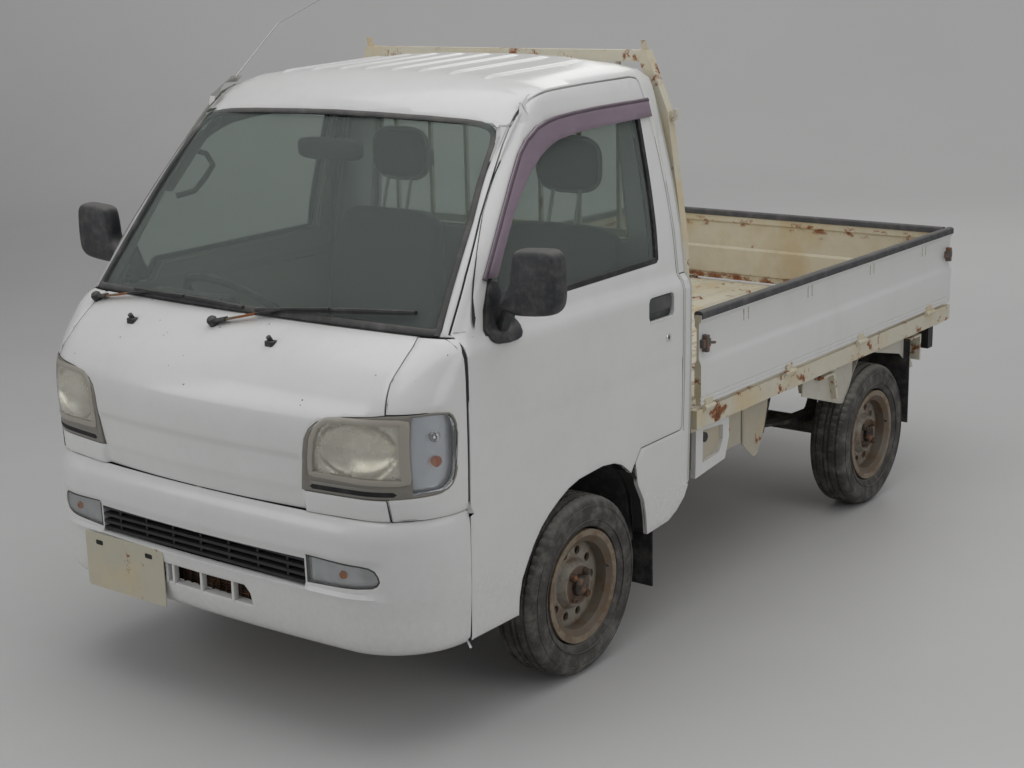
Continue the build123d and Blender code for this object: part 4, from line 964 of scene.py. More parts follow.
        flipped = [tuple(reversed(f)) for f in faces]
        if mirror:
            form.add([(-x, y, z) for x, y, z in verts], flipped)
        elif both:
            shared = {i: i for i, v in enumerate(verts) if abs(v[0]) < 1e-6}
            extra = []
            for i, (x, y, z) in enumerate(verts):
                if i not in shared:
                    shared[i] = len(verts) + len(extra)
                    extra.append((-x, y, z))
            form.add(verts + extra, faces + [tuple(shared[i] for i in f) for f in flipped])
        else:
            form.add(verts, faces)
        return form

    def strip(self, loop, width, height, lift=1.5, signs=(1,), closed=True, form=None, depth=4.0):
        """A moulding or seal that follows a line of (u, v) and lies on its inner or left side."""
        form = form or Form()
        flat = self.flat(loop)
        u, v = np.array(loop).T
        places, out = self.point(u, v), self.normals(u, v)
        along = np.roll(places, -1, axis=0) - np.roll(places, 1, axis=0)
        area = np.sum(flat[:, 0] * np.roll(flat[:, 1], -1) - np.roll(flat[:, 0], -1) * flat[:, 1])
        if not closed:
            along[0], along[-1] = places[1] - places[0], places[-1] - places[-2]
        side = np.cross(out, along)
        side /= np.maximum(np.linalg.norm(side, axis=1, keepdims=True), 1e-9)
        side *= -1 if closed and area < 0 else 1
        rows = []
        for share, up in ((0, None), (0, 0.5), (0.16, 0.88), (0.5, 1.0), (0.84, 0.88), (1, 0.5), (1, None)):
            moved = places + side * width * share
            if self.slope:
                moved -= self.slope(moved) * cab_field(*moved.T)[:, None]
            rows.append(moved + out * (lift - depth if up is None else lift + height * up))
        rings = [[tuple(row[i]) for row in rows] for i in range(len(flat))]
        for sign in signs:
            placed = [[(x * sign, y, z) for x, y, z in ring] for ring in rings]
            form.loft(placed, caps=not closed, wrap=closed)
        return form


RIDGE_V = DOME_Z + DOME_SPAN
cab = Surface(
    cab_point,
    np.concatenate([np.linspace(0, 1, 24), np.linspace(1, 2, 24)[1:], np.linspace(2, 3, 60)[1:],
                    np.linspace(3, 5, 24)[1:]]),
    np.concatenate([np.linspace(200, 1090, 60), np.linspace(1098, DOME_Z, 40),
                    np.linspace(DOME_Z, RIDGE_V, 60)[1:]]),
    ([0, 1, 2, 3, 4, 5], [0, 470, 700, 1640, 1700, 2170]), slope=cab_slope)


# The bumper's outer surface
# Columns: height, half width, nose behind the foremost point, bow of the front, width of the round corner
BUMPER_ROWS = np.array([
    (284, 712, 52, 20, 205), (289, 719, 40, 20, 205), (297, 725, 30, 20, 210), (312, 728, 21, 20, 216),
    (335, 730, 14, 20, 222), (400, 734, 6, 20, 235), (450, 736, 2, 20, 235), (560, 737, 0, 20, 235),
    (596, 737, 0, 20, 235), (618, 736, 3, 20, 235), (634, 734, 9, 22, 228), (645, 732, 17, 24, 220),
    (651, 729, 26, 24, 215), (653, 724, 36, 24, 212),
], dtype=float)
BUMPER_REAR = 282
read_bumper = smooth_table(BUMPER_ROWS)


def bumper_point(u, v):
    """u runs over the bow (0-1), round the corner (1-2) and along the side (2-3); v is the height."""
    half, nose, bow, corner = read_bumper(v)
    bow_round, lean, turn, corner_x, corner_y = plan(half, nose, bow, corner)
    swing = np.clip(u, 0, 1) * lean
    x, y = bow_round * np.sin(swing), nose + bow_round * (1 - np.cos(swing))
    angle = -math.pi / 2 + lean + np.clip(u - 1, 0, 1) * (math.pi / 2 - lean)
    x = np.where(u > 1, corner_x + turn * np.cos(angle), x)
    y = np.where(u > 1, corner_y + turn * np.sin(angle), y)
    y = np.where(u > 2, corner_y + (BUMPER_REAR - corner_y) * (u - 2), y)
    return np.stack([x, y, v + 0 * x], axis=-1)


bumper = Surface(bumper_point, np.linspace(0, 3, 90), np.linspace(284, 653, 90),
                 ([0, 1, 2, 3], [0, 505, 800, 840]))


# The cab's panels, drawn as lines in side view (behind, height) or front view (across, height)
DOOR_FRONT = [(290, 284), (290, 1062), (290, 1102), (389, 1237), (490, 1369)]
# The door's edge under the roof, as places (across, behind, height)
DOOR_BROW = [(628, 490, 1369), (609, 570, 1460), (589, 650, 1549), (582, 685, 1585), (578, 716, 1614),
             (578, 748, 1636), (579, 786, 1654), (579.5, 820, 1663), (580, 856, 1669), (580, 940, 1674),
             (580, 1040, 1678), (580, 1277, 1682)]
DOOR_REAR = [(1277, 1682), (1303, 1677), (1314, 1664), (1324, 1590), (1331, 1450), (1333, 1200), (1333, 626),
             (1322, 616), (1103, 612)]
ARCH_LINE = [(1052, 547), (1000, 585), (960, 600), (900, 607), (785, 599), (735, 586), (690, 565), (647, 540),
             (609, 511), (573, 470), (545, 428), (520, 385), (508, 335), (505, 284)]
QUARTER_LINE = [(1103, 612), (1075, 574), (1090, 503), (1125, 445), (1139, 390), (1146, 332), (1266, 341),
                (1314, 362), (1356, 394), (1386, 443)]
WINDOW_LINE = [(388, 1086), (398, 1150), (432, 1222), (530, 1350), (655, 1505), (705, 1550), (765, 1576),
               (860, 1590), (1245, 1592), (1268, 1585), (1272, 1565), (1238, 1156), (1226, 1146), (540, 1134),
               (510, 1082)]
HANDLE_LINE = [(1141, 998), (1146, 987), (1156, 983), (1263, 983), (1273, 987), (1278, 998), (1278, 1041),
               (1273, 1052), (1263, 1056), (1156, 1056), (1146, 1052), (1141, 1041)]
REAR_WINDOW_LINE = [(0, 1180), (250, 1180), (500, 1180), (512, 1190), (478, 1530), (465, 1540), (250, 1540),
                    (0, 1540)]
SCREEN_LINE = [(661, 1098), (619, 1360), (580, 1530), (572, 1550), (562, 1567), (548, 1580), (531, 1589),
               (500, 1597), (453, 1602), (331, 1608), (150, 1613), (0, 1615)]


def on_back(across, height):
    """Surface coordinates of a place on the cab's back."""
    if across <= FAN_X:
        return (5 - across / FAN_X, height)
    return (4 - math.degrees(math.atan2(across - FAN_X, 40)) / 90, height)


def step(value, low, high):
    """0 at low, 1 at high, and straight between them; high may be the smaller."""
    return np.clip((value - low) / (high - low), 0, 1)


def body_dent(x, y, z):
    """The crease along the side: the panel below it lies a little further in."""
    crease, foot, depth = 840, 700, 2.2
    side = step(y, 300, 360) * (z < 1060)
    return -depth * side * step(z, crease + 10, crease) * step(z, foot, crease + 2)


def front_dent(x, y, z):
    """The band between the lamps, a little behind the panel above it, and its slope down to the bumper."""
    reach = step(x, 400, 386)
    low = step(z, 715, 706) * 2.5 + step(z, 708, 655) * 6
    return -6.5 * step(z, 805, 799) * reach - low * step(x, 396, 384)


def bumper_dent(x, y, z):
    """The band that holds the grille and the lamps, and the lip under it."""
    band = step(z, 452, 460) * step(z, 552, 540) * step(x, 640, 600)
    lip = 3.0 * step(z, 438, 449) * step(z, 460, 451) * step(x, 650, 560)
    return lip - 6 * band


def seen(*lines):
    """An open line of (u, v) from lines in side or front view, as pairs of view and points."""
    return np.concatenate([cab.trace(view, line, closed=False) for view, line in lines])


screen_loop = seen(("front", SCREEN_LINE))
brow = cab.nearest([p for a, b in zip(DOOR_BROW, DOOR_BROW[1:])
                    for p in np.linspace(a, b, max(2, int(math.dist(a, b) / 12)), endpoint=False)])
door_edge = np.concatenate([seen(("side", DOOR_FRONT))[:-1], brow, seen(("side", DOOR_REAR))])
door_loop = np.concatenate([door_edge, seen(("side", [DOOR_REAR[-1], *ARCH_LINE, DOOR_FRONT[0]]))[1:-1]])
belt = len(seen(("side", DOOR_FRONT[:3]))) - 1
window_loop = cab.trace("side", WINDOW_LINE)
handle_loop = cab.trace("side", HANDLE_LINE, 8.0)
body_loop = np.concatenate([
    door_edge[belt:], seen(("side", QUARTER_LINE[1:])),
    [on_back(x, 443) for x in (700, 650, 560, 470, 350, 200, 100, 0)],
    [on_back(x, z) for x, z in REAR_WINDOW_LINE],
    [(5, v) for v in np.linspace(1552, RIDGE_V - 2, 44)],
    [(u, RIDGE_V) for u in np.linspace(5, 0, 70)],
    [(0, v) for v in np.linspace(RIDGE_V - 14, screen_loop[-1][1] + 12, 44)],
    screen_loop[::-1], seen(("front", [(684, 1097), (700, 1096)])),
])
body_skin = cab.skin(body_loop, both=True, dent=body_dent, grid=20)
RIB_FRONT, RIB_REAR, RIB_END, RIB_HALF, RIB_HEIGHT = 826, 1294, 22, 17, 5.5
ROOF_RIBS = [-393, -268, -156, -52, 52, 156, 268, 393]
for rib_x in ROOF_RIBS:
    rows = []
    for y in np.linspace(RIB_FRONT, RIB_REAR, 40):
        end = max(0, min(1, (y - RIB_FRONT) / RIB_END, (RIB_REAR - y) / RIB_END))
        across = np.linspace(-RIB_HALF, RIB_HALF, 11)
        swell = RIB_HEIGHT * end**0.5 * np.cos(across / RIB_HALF * math.pi / 2) ** 1.4 + 1.3
        x = rib_x + across
        rows.append(list(zip(x, np.full(11, y), roof_height(np.abs(x), y) + swell)))
    body_skin.grid(rows)
body_skin.piece("cab_skin", body_white, slot="body_paint", replaces=["roof_panel"], sharp=38)

FRONT_LINE = [(0, 655), (636, 655), (631, 710), (386, 710), (394, 779), (406, 852), (418, 878), (441, 898),
              (518, 918), (600, 926), (628, 930), (611, 1000), (611, 1036), (608, 1073), (600, 1094),
              (0, 1094)]
front_loop = np.concatenate([seen(("front", FRONT_LINE)), [(0, v) for v in np.linspace(1084, 664, 40)]])
cab.skin(front_loop, both=True, dent=front_dent, grid=9, flange=16).piece(
    "front_panel_skin", body_white, slot="body_paint", replaces=["front_panel"], sharp=38)
corner_loop = np.concatenate([
    seen(("front", [(640, 655), (634, 712), (675, 714), (712, 716)]),
         ("side", [(191, 718), (236, 755), (245, 866), (232, 916)])),
    seen(("front", [(716, 932), (632, 932), (615, 1000), (615, 1036), (612, 1073), (604, 1093), (650, 1094),
                    (700, 1093)]))[1:],
    seen(("side", [(296, 1086), (284, 1062), (284, 655), (150, 655)]))[1:],
])
for side, sign in SIDES:
    cab.skin(corner_loop, mirror=sign < 0, grid=12).piece(
        f"{side}_corner_skin", body_white, slot="body_paint", sharp=38)
    cab.skin(cab.shrunk(door_loop, 3.5), [window_loop, handle_loop], mirror=sign < 0, dent=body_dent).piece(
        f"{side}_door_skin", body_white, f"{side}_door_body", "body_paint", sharp=38)
# The CAD panels under the skins draw back, so that they don't show through
for name in ("cab_shell", "corner_panels", "left_door", "right_door"):
    under = nodes[name].modifiers.new("under_skin", "DISPLACE")
    under.strength = -0.0058
    under.mid_level = 0

# Seals and mouldings
seal = cab.strip(screen_loop, 17, 3.4, signs=(1, -1), closed=False)
cab.strip(seen(("front", [(0, 1097), (300, 1097), (640, 1097), (656, 1100)])), 20, 3.4, signs=(1, -1),
          closed=False, form=seal)
seal.piece("windscreen_seal", seal_grey, slot="black_rubber", sharp=60)
for side, sign in SIDES:
    cab.strip(window_loop, 15, 1.6, lift=0.6, signs=(sign,), depth=8).piece(
        f"{side}_window_seal", black_rubber, f"{side}_door_body", "black_rubber", sharp=60)

# Smoked visors over the door windows
VISOR_OUT = [(418, 1225), (470, 1292), (540, 1380), (600, 1452), (659, 1519), (700, 1553), (757, 1581),
             (810, 1594), (857, 1601), (950, 1607), (1060, 1611), (1325, 1615)]
VISOR_IN = [(1325, 1561), (1180, 1558), (1040, 1553), (930, 1548), (846, 1538), (800, 1526), (750, 1505),
            (692, 1470), (630, 1420), (573, 1365), (515, 1295), (463, 1224)]
visor_loop = cab.trace("side", VISOR_OUT + VISOR_IN)
for side, sign in SIDES:
    cab.skin(visor_loop, lift=11, grid=12, flange=3, mirror=sign < 0, edge=2).piece(
        f"{side}_visor_shade", visor_tint, f"{side}_door_body", "purple_acrylic", sharp=60,
        replaces=[f"{side}_visor"])
    cab.strip(seen(("side", VISOR_OUT)), -13, 12.5, lift=0.5, signs=(sign,), closed=False, depth=1).piece(
        f"{side}_visor_flange", visor_dark, f"{side}_door_body", "purple_acrylic", sharp=60)

# Bumper
CLEARANCE_LINE = [(404, 468), (560, 474), (600, 478), (612, 484), (619, 496), (616, 512), (608, 526),
                  (594, 534), (570, 538), (404, 546)]
bumper_loop = np.concatenate([
    [(0, v) for v in np.linspace(532, 648, 12)], [(u, 652) for u in np.linspace(0, 3, 80)],
    [(3, v) for v in np.linspace(642, 300, 30)], [(u, 285) for u in np.linspace(3, 0, 80)],
    [(0, v) for v in np.linspace(295, 352, 6)],
    bumper.trace("front", [(0, 362), (204, 362), (198, 396), (180, 417), (0, 417)], closed=False),
    [(0, v) for v in (427, 440)],
    bumper.trace("front", [(0, 454), (398, 454), (398, 532), (0, 532)], closed=False)[:-1],
])
clearance_loop = bumper.trace("front", CLEARANCE_LINE, 8.0)
bumper.skin(bumper_loop, [clearance_loop], both=True, dent=bumper_dent, grid=10, flange=22).piece(
    "bumper_skin", bumper_white, slot="bumper_paint", replaces=["front_bumper"], sharp=38)

# Headlamps: frame, ribbed glass over a reflector, and a clear side lamp with two bulbs
LAMP_LINE_FRONT = [(634, 714), (388, 714), (396, 779), (408, 852), (420, 877), (443, 896), (518, 916),
                   (600, 924), (634, 928), (716, 930)]
LAMP_LINE_SIDE = [(222, 924), (233, 915), (241, 899), (246, 880), (248, 864), (247, 818), (242, 772),
                  (237, 752), (227, 735), (210, 724), (192, 719)]
GLASS_LINE = [(424, 764), (426, 800), (433, 850), (446, 884), (470, 901), (520, 906), (600, 908), (668, 908),
              (670, 760), (560, 761)]
TURN_FRONT = [(684, 722), (684, 924), (714, 925)]
TURN_SIDE = [(216, 921), (226, 914), (233, 904), (240, 884), (243, 866), (242, 820), (237, 775), (232, 756),
             (222, 740), (207, 729), (192, 725)]
lamp_loop = seen(("front", LAMP_LINE_FRONT[::-1]), ("front", [(640, 714), (716, 718)]),
                 ("side", LAMP_LINE_SIDE[::-1]))
glass_loop = cab.trace("front", GLASS_LINE, 8.0)
turn_loop = seen(("front", TURN_FRONT), ("side", TURN_SIDE))
# The lamp vent is a near-black strip: painted shade in the slit
vent_loop = cab.trace("front", [(424, 721), (416, 727), (424, 734), (648, 734), (655, 727), (648, 721)], 6.0)
INNER_RIM = np.array([(410, 740), (418, 800), (427, 862), (452, 900), (520, 914), (677, 916), (677, 745)],
                     float)


def bowl(x, y, z):
    """The oval reflector behind the main lamp's glass."""
    middle_x, middle_z, half_width, half_height, depth = 548, 834, 112, 78, 34
    out = ((x - middle_x) / half_width) ** 2 + ((z - middle_z) / half_height) ** 2
    return -depth * np.sqrt(np.clip(1 - out, 0, 1)) - 3 * step(out, 1.25, 1.0)


def groove(x, y, z):
    """A narrow groove between the lamp's grey rim and its inner frame."""
    return -3.0 * step(loop_gap(np.stack([x, z], axis=1), INNER_RIM), 5, 2.5)


def bulb(name, profile, spot, out, finish, sides):
    Form().lathe(profile, spot, out, sides).piece(name, finish, slot="lamp_glass", sharp=50)


# Columns: name, loop, distance drawn in, holes, height above the surface, grid, edge's depth, edge's round,
# dent, material, sharp angle
LAMP_PARTS = [
    ("lamp_frame", lamp_loop, 0, [glass_loop, turn_loop], 2.2, 6, 20, 3, groove, lamp_frame, 32),
    ("lamp_inner_frame", glass_loop, -11, [cab.shrunk(glass_loop, 4)], 2.8, 5, 16, 3, None, lamp_beige, 32),
    ("lamp_reflector", glass_loop, -2, [], -12, 6, 6, 2.2, bowl, reflector, 60),
    ("lamp_lens", glass_loop, 1, [], 1.2, 12, 8, 2.2, None, fluted_glass, 60),
    ("turn_reflector", turn_loop, -2, [], -26, 8, 6, 2.2, None, turn_back, 60),
    ("turn_lens", turn_loop, 1.5, [], 1.6, 8, 14, 2.2, None, clear_lens, 60),
    ("lamp_vent", vent_loop, 0, [], 2.7, 8, 3, 0.8, None, opening_shade_black, 32),
]
BULB = [(-12, 0), (-12, 13), (-3, 14), (-2, 10), (2, 9), (8, 8), (12, 5), (14, 0)]
for side, sign in SIDES:
    for name, loop, inset, holes, lift, grid, flange, edge, dent, finish, sharp in LAMP_PARTS:
        drawn = cab.shrunk(loop, inset) if inset else loop
        part = cab.skin(drawn, holes, lift=lift, grid=grid, flange=flange, mirror=sign < 0, dent=dent,
                        edge=edge)
        part.piece(
            f"{side}_{name}", finish, slot="lamp_glass", sharp=sharp,
            replaces=["headlamps"] if (side, name) == ("left", "lamp_frame") else ())
    for name, place, finish in (("clear", (720, 866), bright_metal), ("amber", (721, 800), amber)):
        bulb(f"{side}_turn_bulb_{name}", BULB, cab.spot("front", place, -14, sign), (0.45 * sign, -0.9, 0),
             finish, 24)

# Clearance lamps in the bumper
for side, sign in SIDES:
    bumper.skin(bumper.shrunk(clearance_loop, -3), lift=-16, grid=8, flange=4, mirror=sign < 0).piece(
        f"{side}_clearance_back", turn_back, slot="lamp_glass", sharp=60,
        replaces=["clearance_lamps"] if sign > 0 else ())
    glass = bumper.shrunk(clearance_loop, 3.5)
    bumper.skin(glass, lift=-4.5, grid=8, flange=10, mirror=sign < 0, edge=3).piece(
        f"{side}_clearance_lens", grey_lens, slot="lamp_glass", sharp=60)
    bumper.strip(clearance_loop, 4.5, 1.5, lift=-6.0, signs=(sign,), depth=12).piece(
        f"{side}_clearance_rim", seal_grey, slot="lamp_glass", sharp=60)
    bulb(f"{side}_clearance_bulb", [(-6, 0), (-6, 12), (0, 11), (6, 8), (9, 0)],
         bumper.spot("front", (520, 506), -12, sign), (0.2 * sign, -1, 0), amber, 20)

# Ribs across the opening under the grille, with the cooler behind
MOUTH_RIBS = [-131, -104, 8, 131]
FINS, FIN_PITCH, COOLER_TUBES, TUBE_PITCH = 23, 8.2, 15, 28.5
mouth = Form()
for x in MOUTH_RIBS:
    mouth.slab((x - 5, 8, 358), (x + 5, 26, 424), 2, 1)
mouth.piece("mouth_ribs", bumper_white, slot="bumper_paint")
cooler = Form()
cooler.slab((-215, 60, 350), (215, 66, 545), 2, 1)
for z in [354 + FIN_PITCH * k for k in range(FINS)]:
    cooler.slab((-212, 55, z), (212, 61, z + 3), 1, 0.5, steps=1)
for x in [-200 + TUBE_PITCH * k for k in range(COOLER_TUBES)]:
    cooler.slab((x, 53, 350), (x + 5, 62, 545), 1, 0.5, steps=1)
cooler.piece("cooler", cooler_brown, slot="black_steel")

# Washer nozzles and wipers
NOZZLES = [(-384, 164, 1043), (177, 156, 1044)]
nozzles = Form()
for x, y, z in NOZZLES:
    nozzles.slab((x - 15, y - 9, z - 6), (x + 15, y + 17, z + 11), 6, 2)
    nozzles.rod((x, y + 4, z + 9), (x, y - 6, z + 23), 7)
nozzles.piece("washer_nozzles", black_plastic, slot="black_steel")


def on_screen(place, lift):
    """A place above the windscreen or cowl."""
    return cab.spot("front", (abs(place[0]), place[1]), lift, 1 if place[0] >= 0 else -1)


def bar(half_width, half_height):
    """A flat section."""
    return [(-half_width, -half_height), (half_width, -half_height), (half_width, half_height),
            (-half_width, half_height)]


# Columns: name, pivot (across, height), elbow, blade's start, blade's end
WIPERS = [
    ("left", (-68, 1066), (142, 1112), (40, 1104), (571, 1143)),
    ("right", (-606, 1074), (-400, 1106), (-470, 1108), (-9, 1105)),
]
WIPER_AXIS = Vector((0, -0.6, 0.8))
for name, pivot, elbow, first, last in WIPERS:
    base, bend = on_screen(pivot, 10), on_screen(elbow, 17)
    hub = Form().lathe([(-10, 0), (-10, 14), (8, 15), (14, 11), (17, 0)], base, WIPER_AXIS, 20)
    hub.tube([base.lerp(bend, s) for s in (0, 0.1, 0.2)], 0,
             section=[(-10, -4), (10, -4), (11, 0), (8, 7), (-8, 7), (-11, 0)])
    hub.piece(f"{name}_wiper_hub", black_plastic, slot="black_steel",
              replaces=["wipers"] if name == "left" else ())
    Form().tube([base.lerp(bend, s) for s in (0.18, 0.4, 0.62)], 0, section=bar(7, 3)).piece(
        f"{name}_wiper_spring", rusty_steel, slot="black_steel")
    shares = np.linspace(0, 1, 12)
    line = [Vector(first).lerp(Vector(last), s) for s in shares]
    middle = on_screen(Vector(first).lerp(Vector(last), 0.5), 18)
    blade = Form().tube([base.lerp(bend, 0.6), bend, middle + Vector((0, -2, 3))], 0, section=bar(6, 3))
    rubber = [on_screen(place, 6) for place in line]
    blade.tube(rubber, 0, section=[(-4, -4), (4, -4), (5, 1), (2, 5), (-2, 5), (-5, 1)])
    bow = [p + WIPER_AXIS * (4 + 7 * math.sin(math.pi * s)) for p, s in zip(rubber, shares)]
    blade.tube(bow, 0, section=[(-7, -3), (7, -3), (6, 3), (-6, 3)])
    blade.piece(f"{name}_wiper_blade", black_plastic, slot="black_steel", sharp=50)


def rounded(line):
    """The line with its corners cut twice, and four times as many points."""
    for _ in range(2):
        cut = []
        for (x1, z1), (x2, z2) in zip(line, line[1:] + line[:1]):
            cut += [(x1 * (1 - s) + x2 * s, z1 * (1 - s) + z2 * s) for s in (0.25, 0.75)]
        line = cut
    return line


# Door handles, locks and mirrors
HEAD_LINE = rounded([
    (788, 1136), (884, 1145), (908, 1158), (921, 1182), (923, 1240), (920, 1290), (910, 1309), (890, 1317),
    (840, 1314), (796, 1311), (780, 1300), (772, 1260), (768, 1214), (748, 1192), (733, 1178), (731, 1152),
    (750, 1144), (768, 1142)])
HEAD_LAYERS = [(420, 15), (422, 9), (427, 4), (436, 1), (446, 0), (462, 0), (470, 1.5), (474, 5), (474, 8),
               (469, 10)]
GLASS_LAYERS = [(467, 9.5), (472, 10)]
MIRROR_ARM = [(752, 448, 1160), (742, 450, 1130), (728, 454, 1100), (706, 458, 1078)]


def pillow(outline, layers, sign):
    """A closed form from an outline seen from the front; layers are (behind, distance drawn in)."""
    flat = np.array(outline, float)
    return Form().loft([[(sign * x, y, z) for x, z in inset_loop(flat, inset)] for y, inset in layers])


PULL_LINE = [(1144, 1008), (1275, 1008), (1275, 1040), (1268, 1053), (1151, 1053), (1144, 1040)]
SAIL_LINE = [(458, 1214), (440, 1219), (424, 1200), (407, 1160), (395, 1115), (392, 1093), (397, 1075),
             (409, 1065), (425, 1060), (459, 1057), (495, 1058), (515, 1062), (525, 1072), (530, 1098),
             (515, 1112), (500, 1130), (482, 1165)]
pull_loop = cab.trace("side", PULL_LINE, 8.0)
lip_line = cab.trace("side", [(1144, 981), (1275, 981)], 6.0, closed=False)
sail_loop = cab.trace("side", SAIL_LINE)
for side, sign in SIDES:
    body = f"{side}_door_body"
    cab.skin(cab.shrunk(handle_loop, -1), lift=-15, grid=10, flange=4, mirror=sign < 0).piece(
        f"{side}_handle_cup", handle_grey, body, "black_plastic")
    cab.skin(cab.shrunk(pull_loop, 1), lift=-5, grid=8, flange=7, mirror=sign < 0, edge=3).piece(
        f"{side}_handle_flap", handle_grey, body, "black_plastic")
    cab.strip(lip_line, 6, 2.5, signs=(sign,), closed=False, depth=8).piece(
        f"{side}_handle_lip", body_white, body, "body_paint")
    key = cab.spot("side", (1245, 923), 1.5, sign)
    Form().lathe([(-2, 0), (-2, 13), (2, 13), (3, 11), (2.4, 8), (2.4, 0)], key, (sign, 0, 0), 28).piece(
        f"{side}_door_lock", bright_metal, body, "bare_steel")
    # The key slot is a near-black slab: painted shade in the keyway
    half_slot = Vector((4, 1.4, 6))
    Form().slab(key - half_slot, key + half_slot, 1, 0.3, axis=0).piece(
        f"{side}_key_slot", opening_shade_black, body, "black_plastic")
    head = pillow(HEAD_LINE, HEAD_LAYERS, sign)
    head.tube([(sign * x, y, z) for x, y, z in MIRROR_ARM], 0,
              section=[(-14, -9), (14, -9), (18, 0), (14, 9), (-14, 9), (-18, 0)])
    cab.skin(sail_loop, lift=10, grid=12, flange=12, mirror=sign < 0, edge=3, form=head)
    head.piece(f"{side}_mirror_head", mirror_black, body, "black_plastic", sharp=50,
               replaces=[f"{side}_mirror"])
    pillow(HEAD_LINE, GLASS_LAYERS, sign).piece(
        f"{side}_mirror_glass", bright_metal, body, "bare_steel")


def side_box(sign, near, far, front, rear, low, high):
    """Two opposite corners of a box on one side of the truck."""
    low_x, high_x = sorted((sign * near, sign * far))
    return (low_x, front, low), (high_x, rear, high)


# Number plate bracket: near-black slabs over the bolt slots, painted shade in the openings
PLATE_HOLES = [-404, -194]
plate_front = (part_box("plate_bracket")[0][1] - NOSE) * 1000
plate_slots = Form()
for x in PLATE_HOLES:
    plate_slots.slab((x - 15, plate_front - 0.5, 416), (x + 15, plate_front + 4, 430), 4, 0.3, axis=1)
plate_slots.piece("plate_slots", opening_shade_black, slot="black_plastic")

# Gates: pressed panels with a recessed upper band, rubber over the top edge, latches and hinges
# Columns: depth from the outer face, height
GATE_PROFILE = [
    (3, 662), (0, 665), (0, 670), (2.5, 672), (2.5, 675), (0, 677), (0, 684), (2.5, 686), (2.5, 689),
    (0, 691), (0, 789), (1, 795), (4, 802), (8, 810), (9, 818), (9, 918), (7, 925), (1.5, 931), (0, 936),
    (0, 947), (3, 950), (21, 950), (24, 946), (24, 914), (17, 906), (17, 806), (24, 796), (24, 690),
    (19, 684), (19, 662)]
GATE_X, GATE_FRONT, GATE_REAR = 727, 1451, 3383
GATE_RIBS = [1746, 2188, 2673, 3131]
HINGES = [1498, 2027, 2574, 3176]
LATCHES = [(1478, 1), (3350, -1)]  # place behind the bumper, way the lever points
CAP_Z, HINGE_Z = 952, 655
CAP = [(-15, -14), (-15, 3), (-11, 9), (0, 11), (11, 9), (15, 3), (15, -14), (12, -14), (12, -2), (-12, -2),
       (-12, -14)]
for side, sign in SIDES:
    body = f"{side}_gate_body"
    panel = Form().loft([[(sign * (GATE_X - d), y, z) for d, z in GATE_PROFILE]
                         for y in (GATE_FRONT, GATE_REAR)])
    for y in [rib + beside for rib in GATE_RIBS for beside in (-15, 15)]:
        panel.slab(*side_box(sign, GATE_X - 12, GATE_X - 5, y - 3, y + 3, 884, 928), 2, 1)
    panel.piece(f"{side}_gate_panel", gate_white, body, "bed_paint", sharp=30, replaces=[f"{side}_gate"])
    Form().tube([(sign * 715, y, CAP_Z) for y in np.linspace(1453, 3384, 24)], 0, section=CAP).piece(
        f"{side}_gate_rubber", cap_rubber, body, "black_rubber", sharp=50)
    latches = Form()
    for y, facing in LATCHES:
        latches.slab(*side_box(sign, 716, 734, y - 22, y + 22, 846, 872), 3, 1.5)
        latches.rod((sign * 733, y, 862), (sign * 733, y + facing * 46, 854), 4.5)
        latches.slab(*side_box(sign, 716, 738, y - 8, y + 8, 832, 886), 3, 1.5)
    latches.piece(f"{side}_gate_latches", latch_metal, body, "bed_paint")
    hinges = Form()
    for y in HINGES:
        hinges.rod((sign * 733, y - 36, HINGE_Z), (sign * 733, y + 36, HINGE_Z), 8.5, edge=1)
        hinges.slab(*side_box(sign, 724, 731, y - 24, y + 24, HINGE_Z, HINGE_Z + 29), 3, 1)
    hinges.piece(f"{side}_gate_hinges", bed_cream, body, "bed_paint", sharp=40)
Form().loft([[(x, GATE_REAR - d, z) for d, z in GATE_PROFILE] for x in (-697, 697)]).piece(
    "tail_gate_panel", tail_white, "tail_gate_body", "bed_paint", sharp=30, replaces=["tail_gate"])
Form().tube([(x, 3371, CAP_Z) for x in np.linspace(-694, 694, 16)], 0, section=CAP).piece(
    "tail_gate_rubber", cap_rubber, "tail_gate_body", "black_rubber", sharp=50)

# Under the bed: the battery's panel behind the cab, spring hangers and wheelhouse panels.
# Outlines are in side view (behind, height)
HANGER = [(1865, 592), (2047, 592), (2040, 520), (2020, 448), (1975, 367), (1950, 362), (1915, 385),
          (1870, 424)]
WING_END = [(2533, 426), (2589, 521), (2640, 575), (2700, 600)]
WING_PANELS = [[(2204, 592), (2592, 612), (2589, 521), (2533, 426), (2479, 438), (2199, 524)],
               [(2768, 600), (3034, 609), (3129, 443), (3112, 443), (3000, 520), (2790, 566)]]
BATTERY_PANEL = [(1474, 590), (1679, 574), (1680, 508), (1655, 439), (1470, 417)]
BATTERY_OPENING = [(1516, 566), (1640, 558), (1640, 508), (1618, 470), (1514, 458)]
BATTERY_RINGS = [(680, BATTERY_PANEL), (697, BATTERY_PANEL), (697, BATTERY_OPENING), (684, BATTERY_OPENING)]
Form().loft([[(x, y, z) for y, z in line] for x, line in BATTERY_RINGS], caps=False).piece(
    "left_battery_panel", bumper_white, slot="frame_paint", sharp=30, replaces=["battery_box"])
back = Form().prism(BATTERY_OPENING, 676, 684)
back.slab((420, 1500, 430), (672, 1650, 572), 10, 3)
back.piece("left_battery_cover", frame_cream, slot="frame_paint")
Form().lathe([(0, 0), (0, 16), (10, 16), (12, 13), (12, 0)], (684, 1535, 538), (1, 0, 0), 24).piece(
    "left_battery_knob", black_plastic, slot="black_plastic")
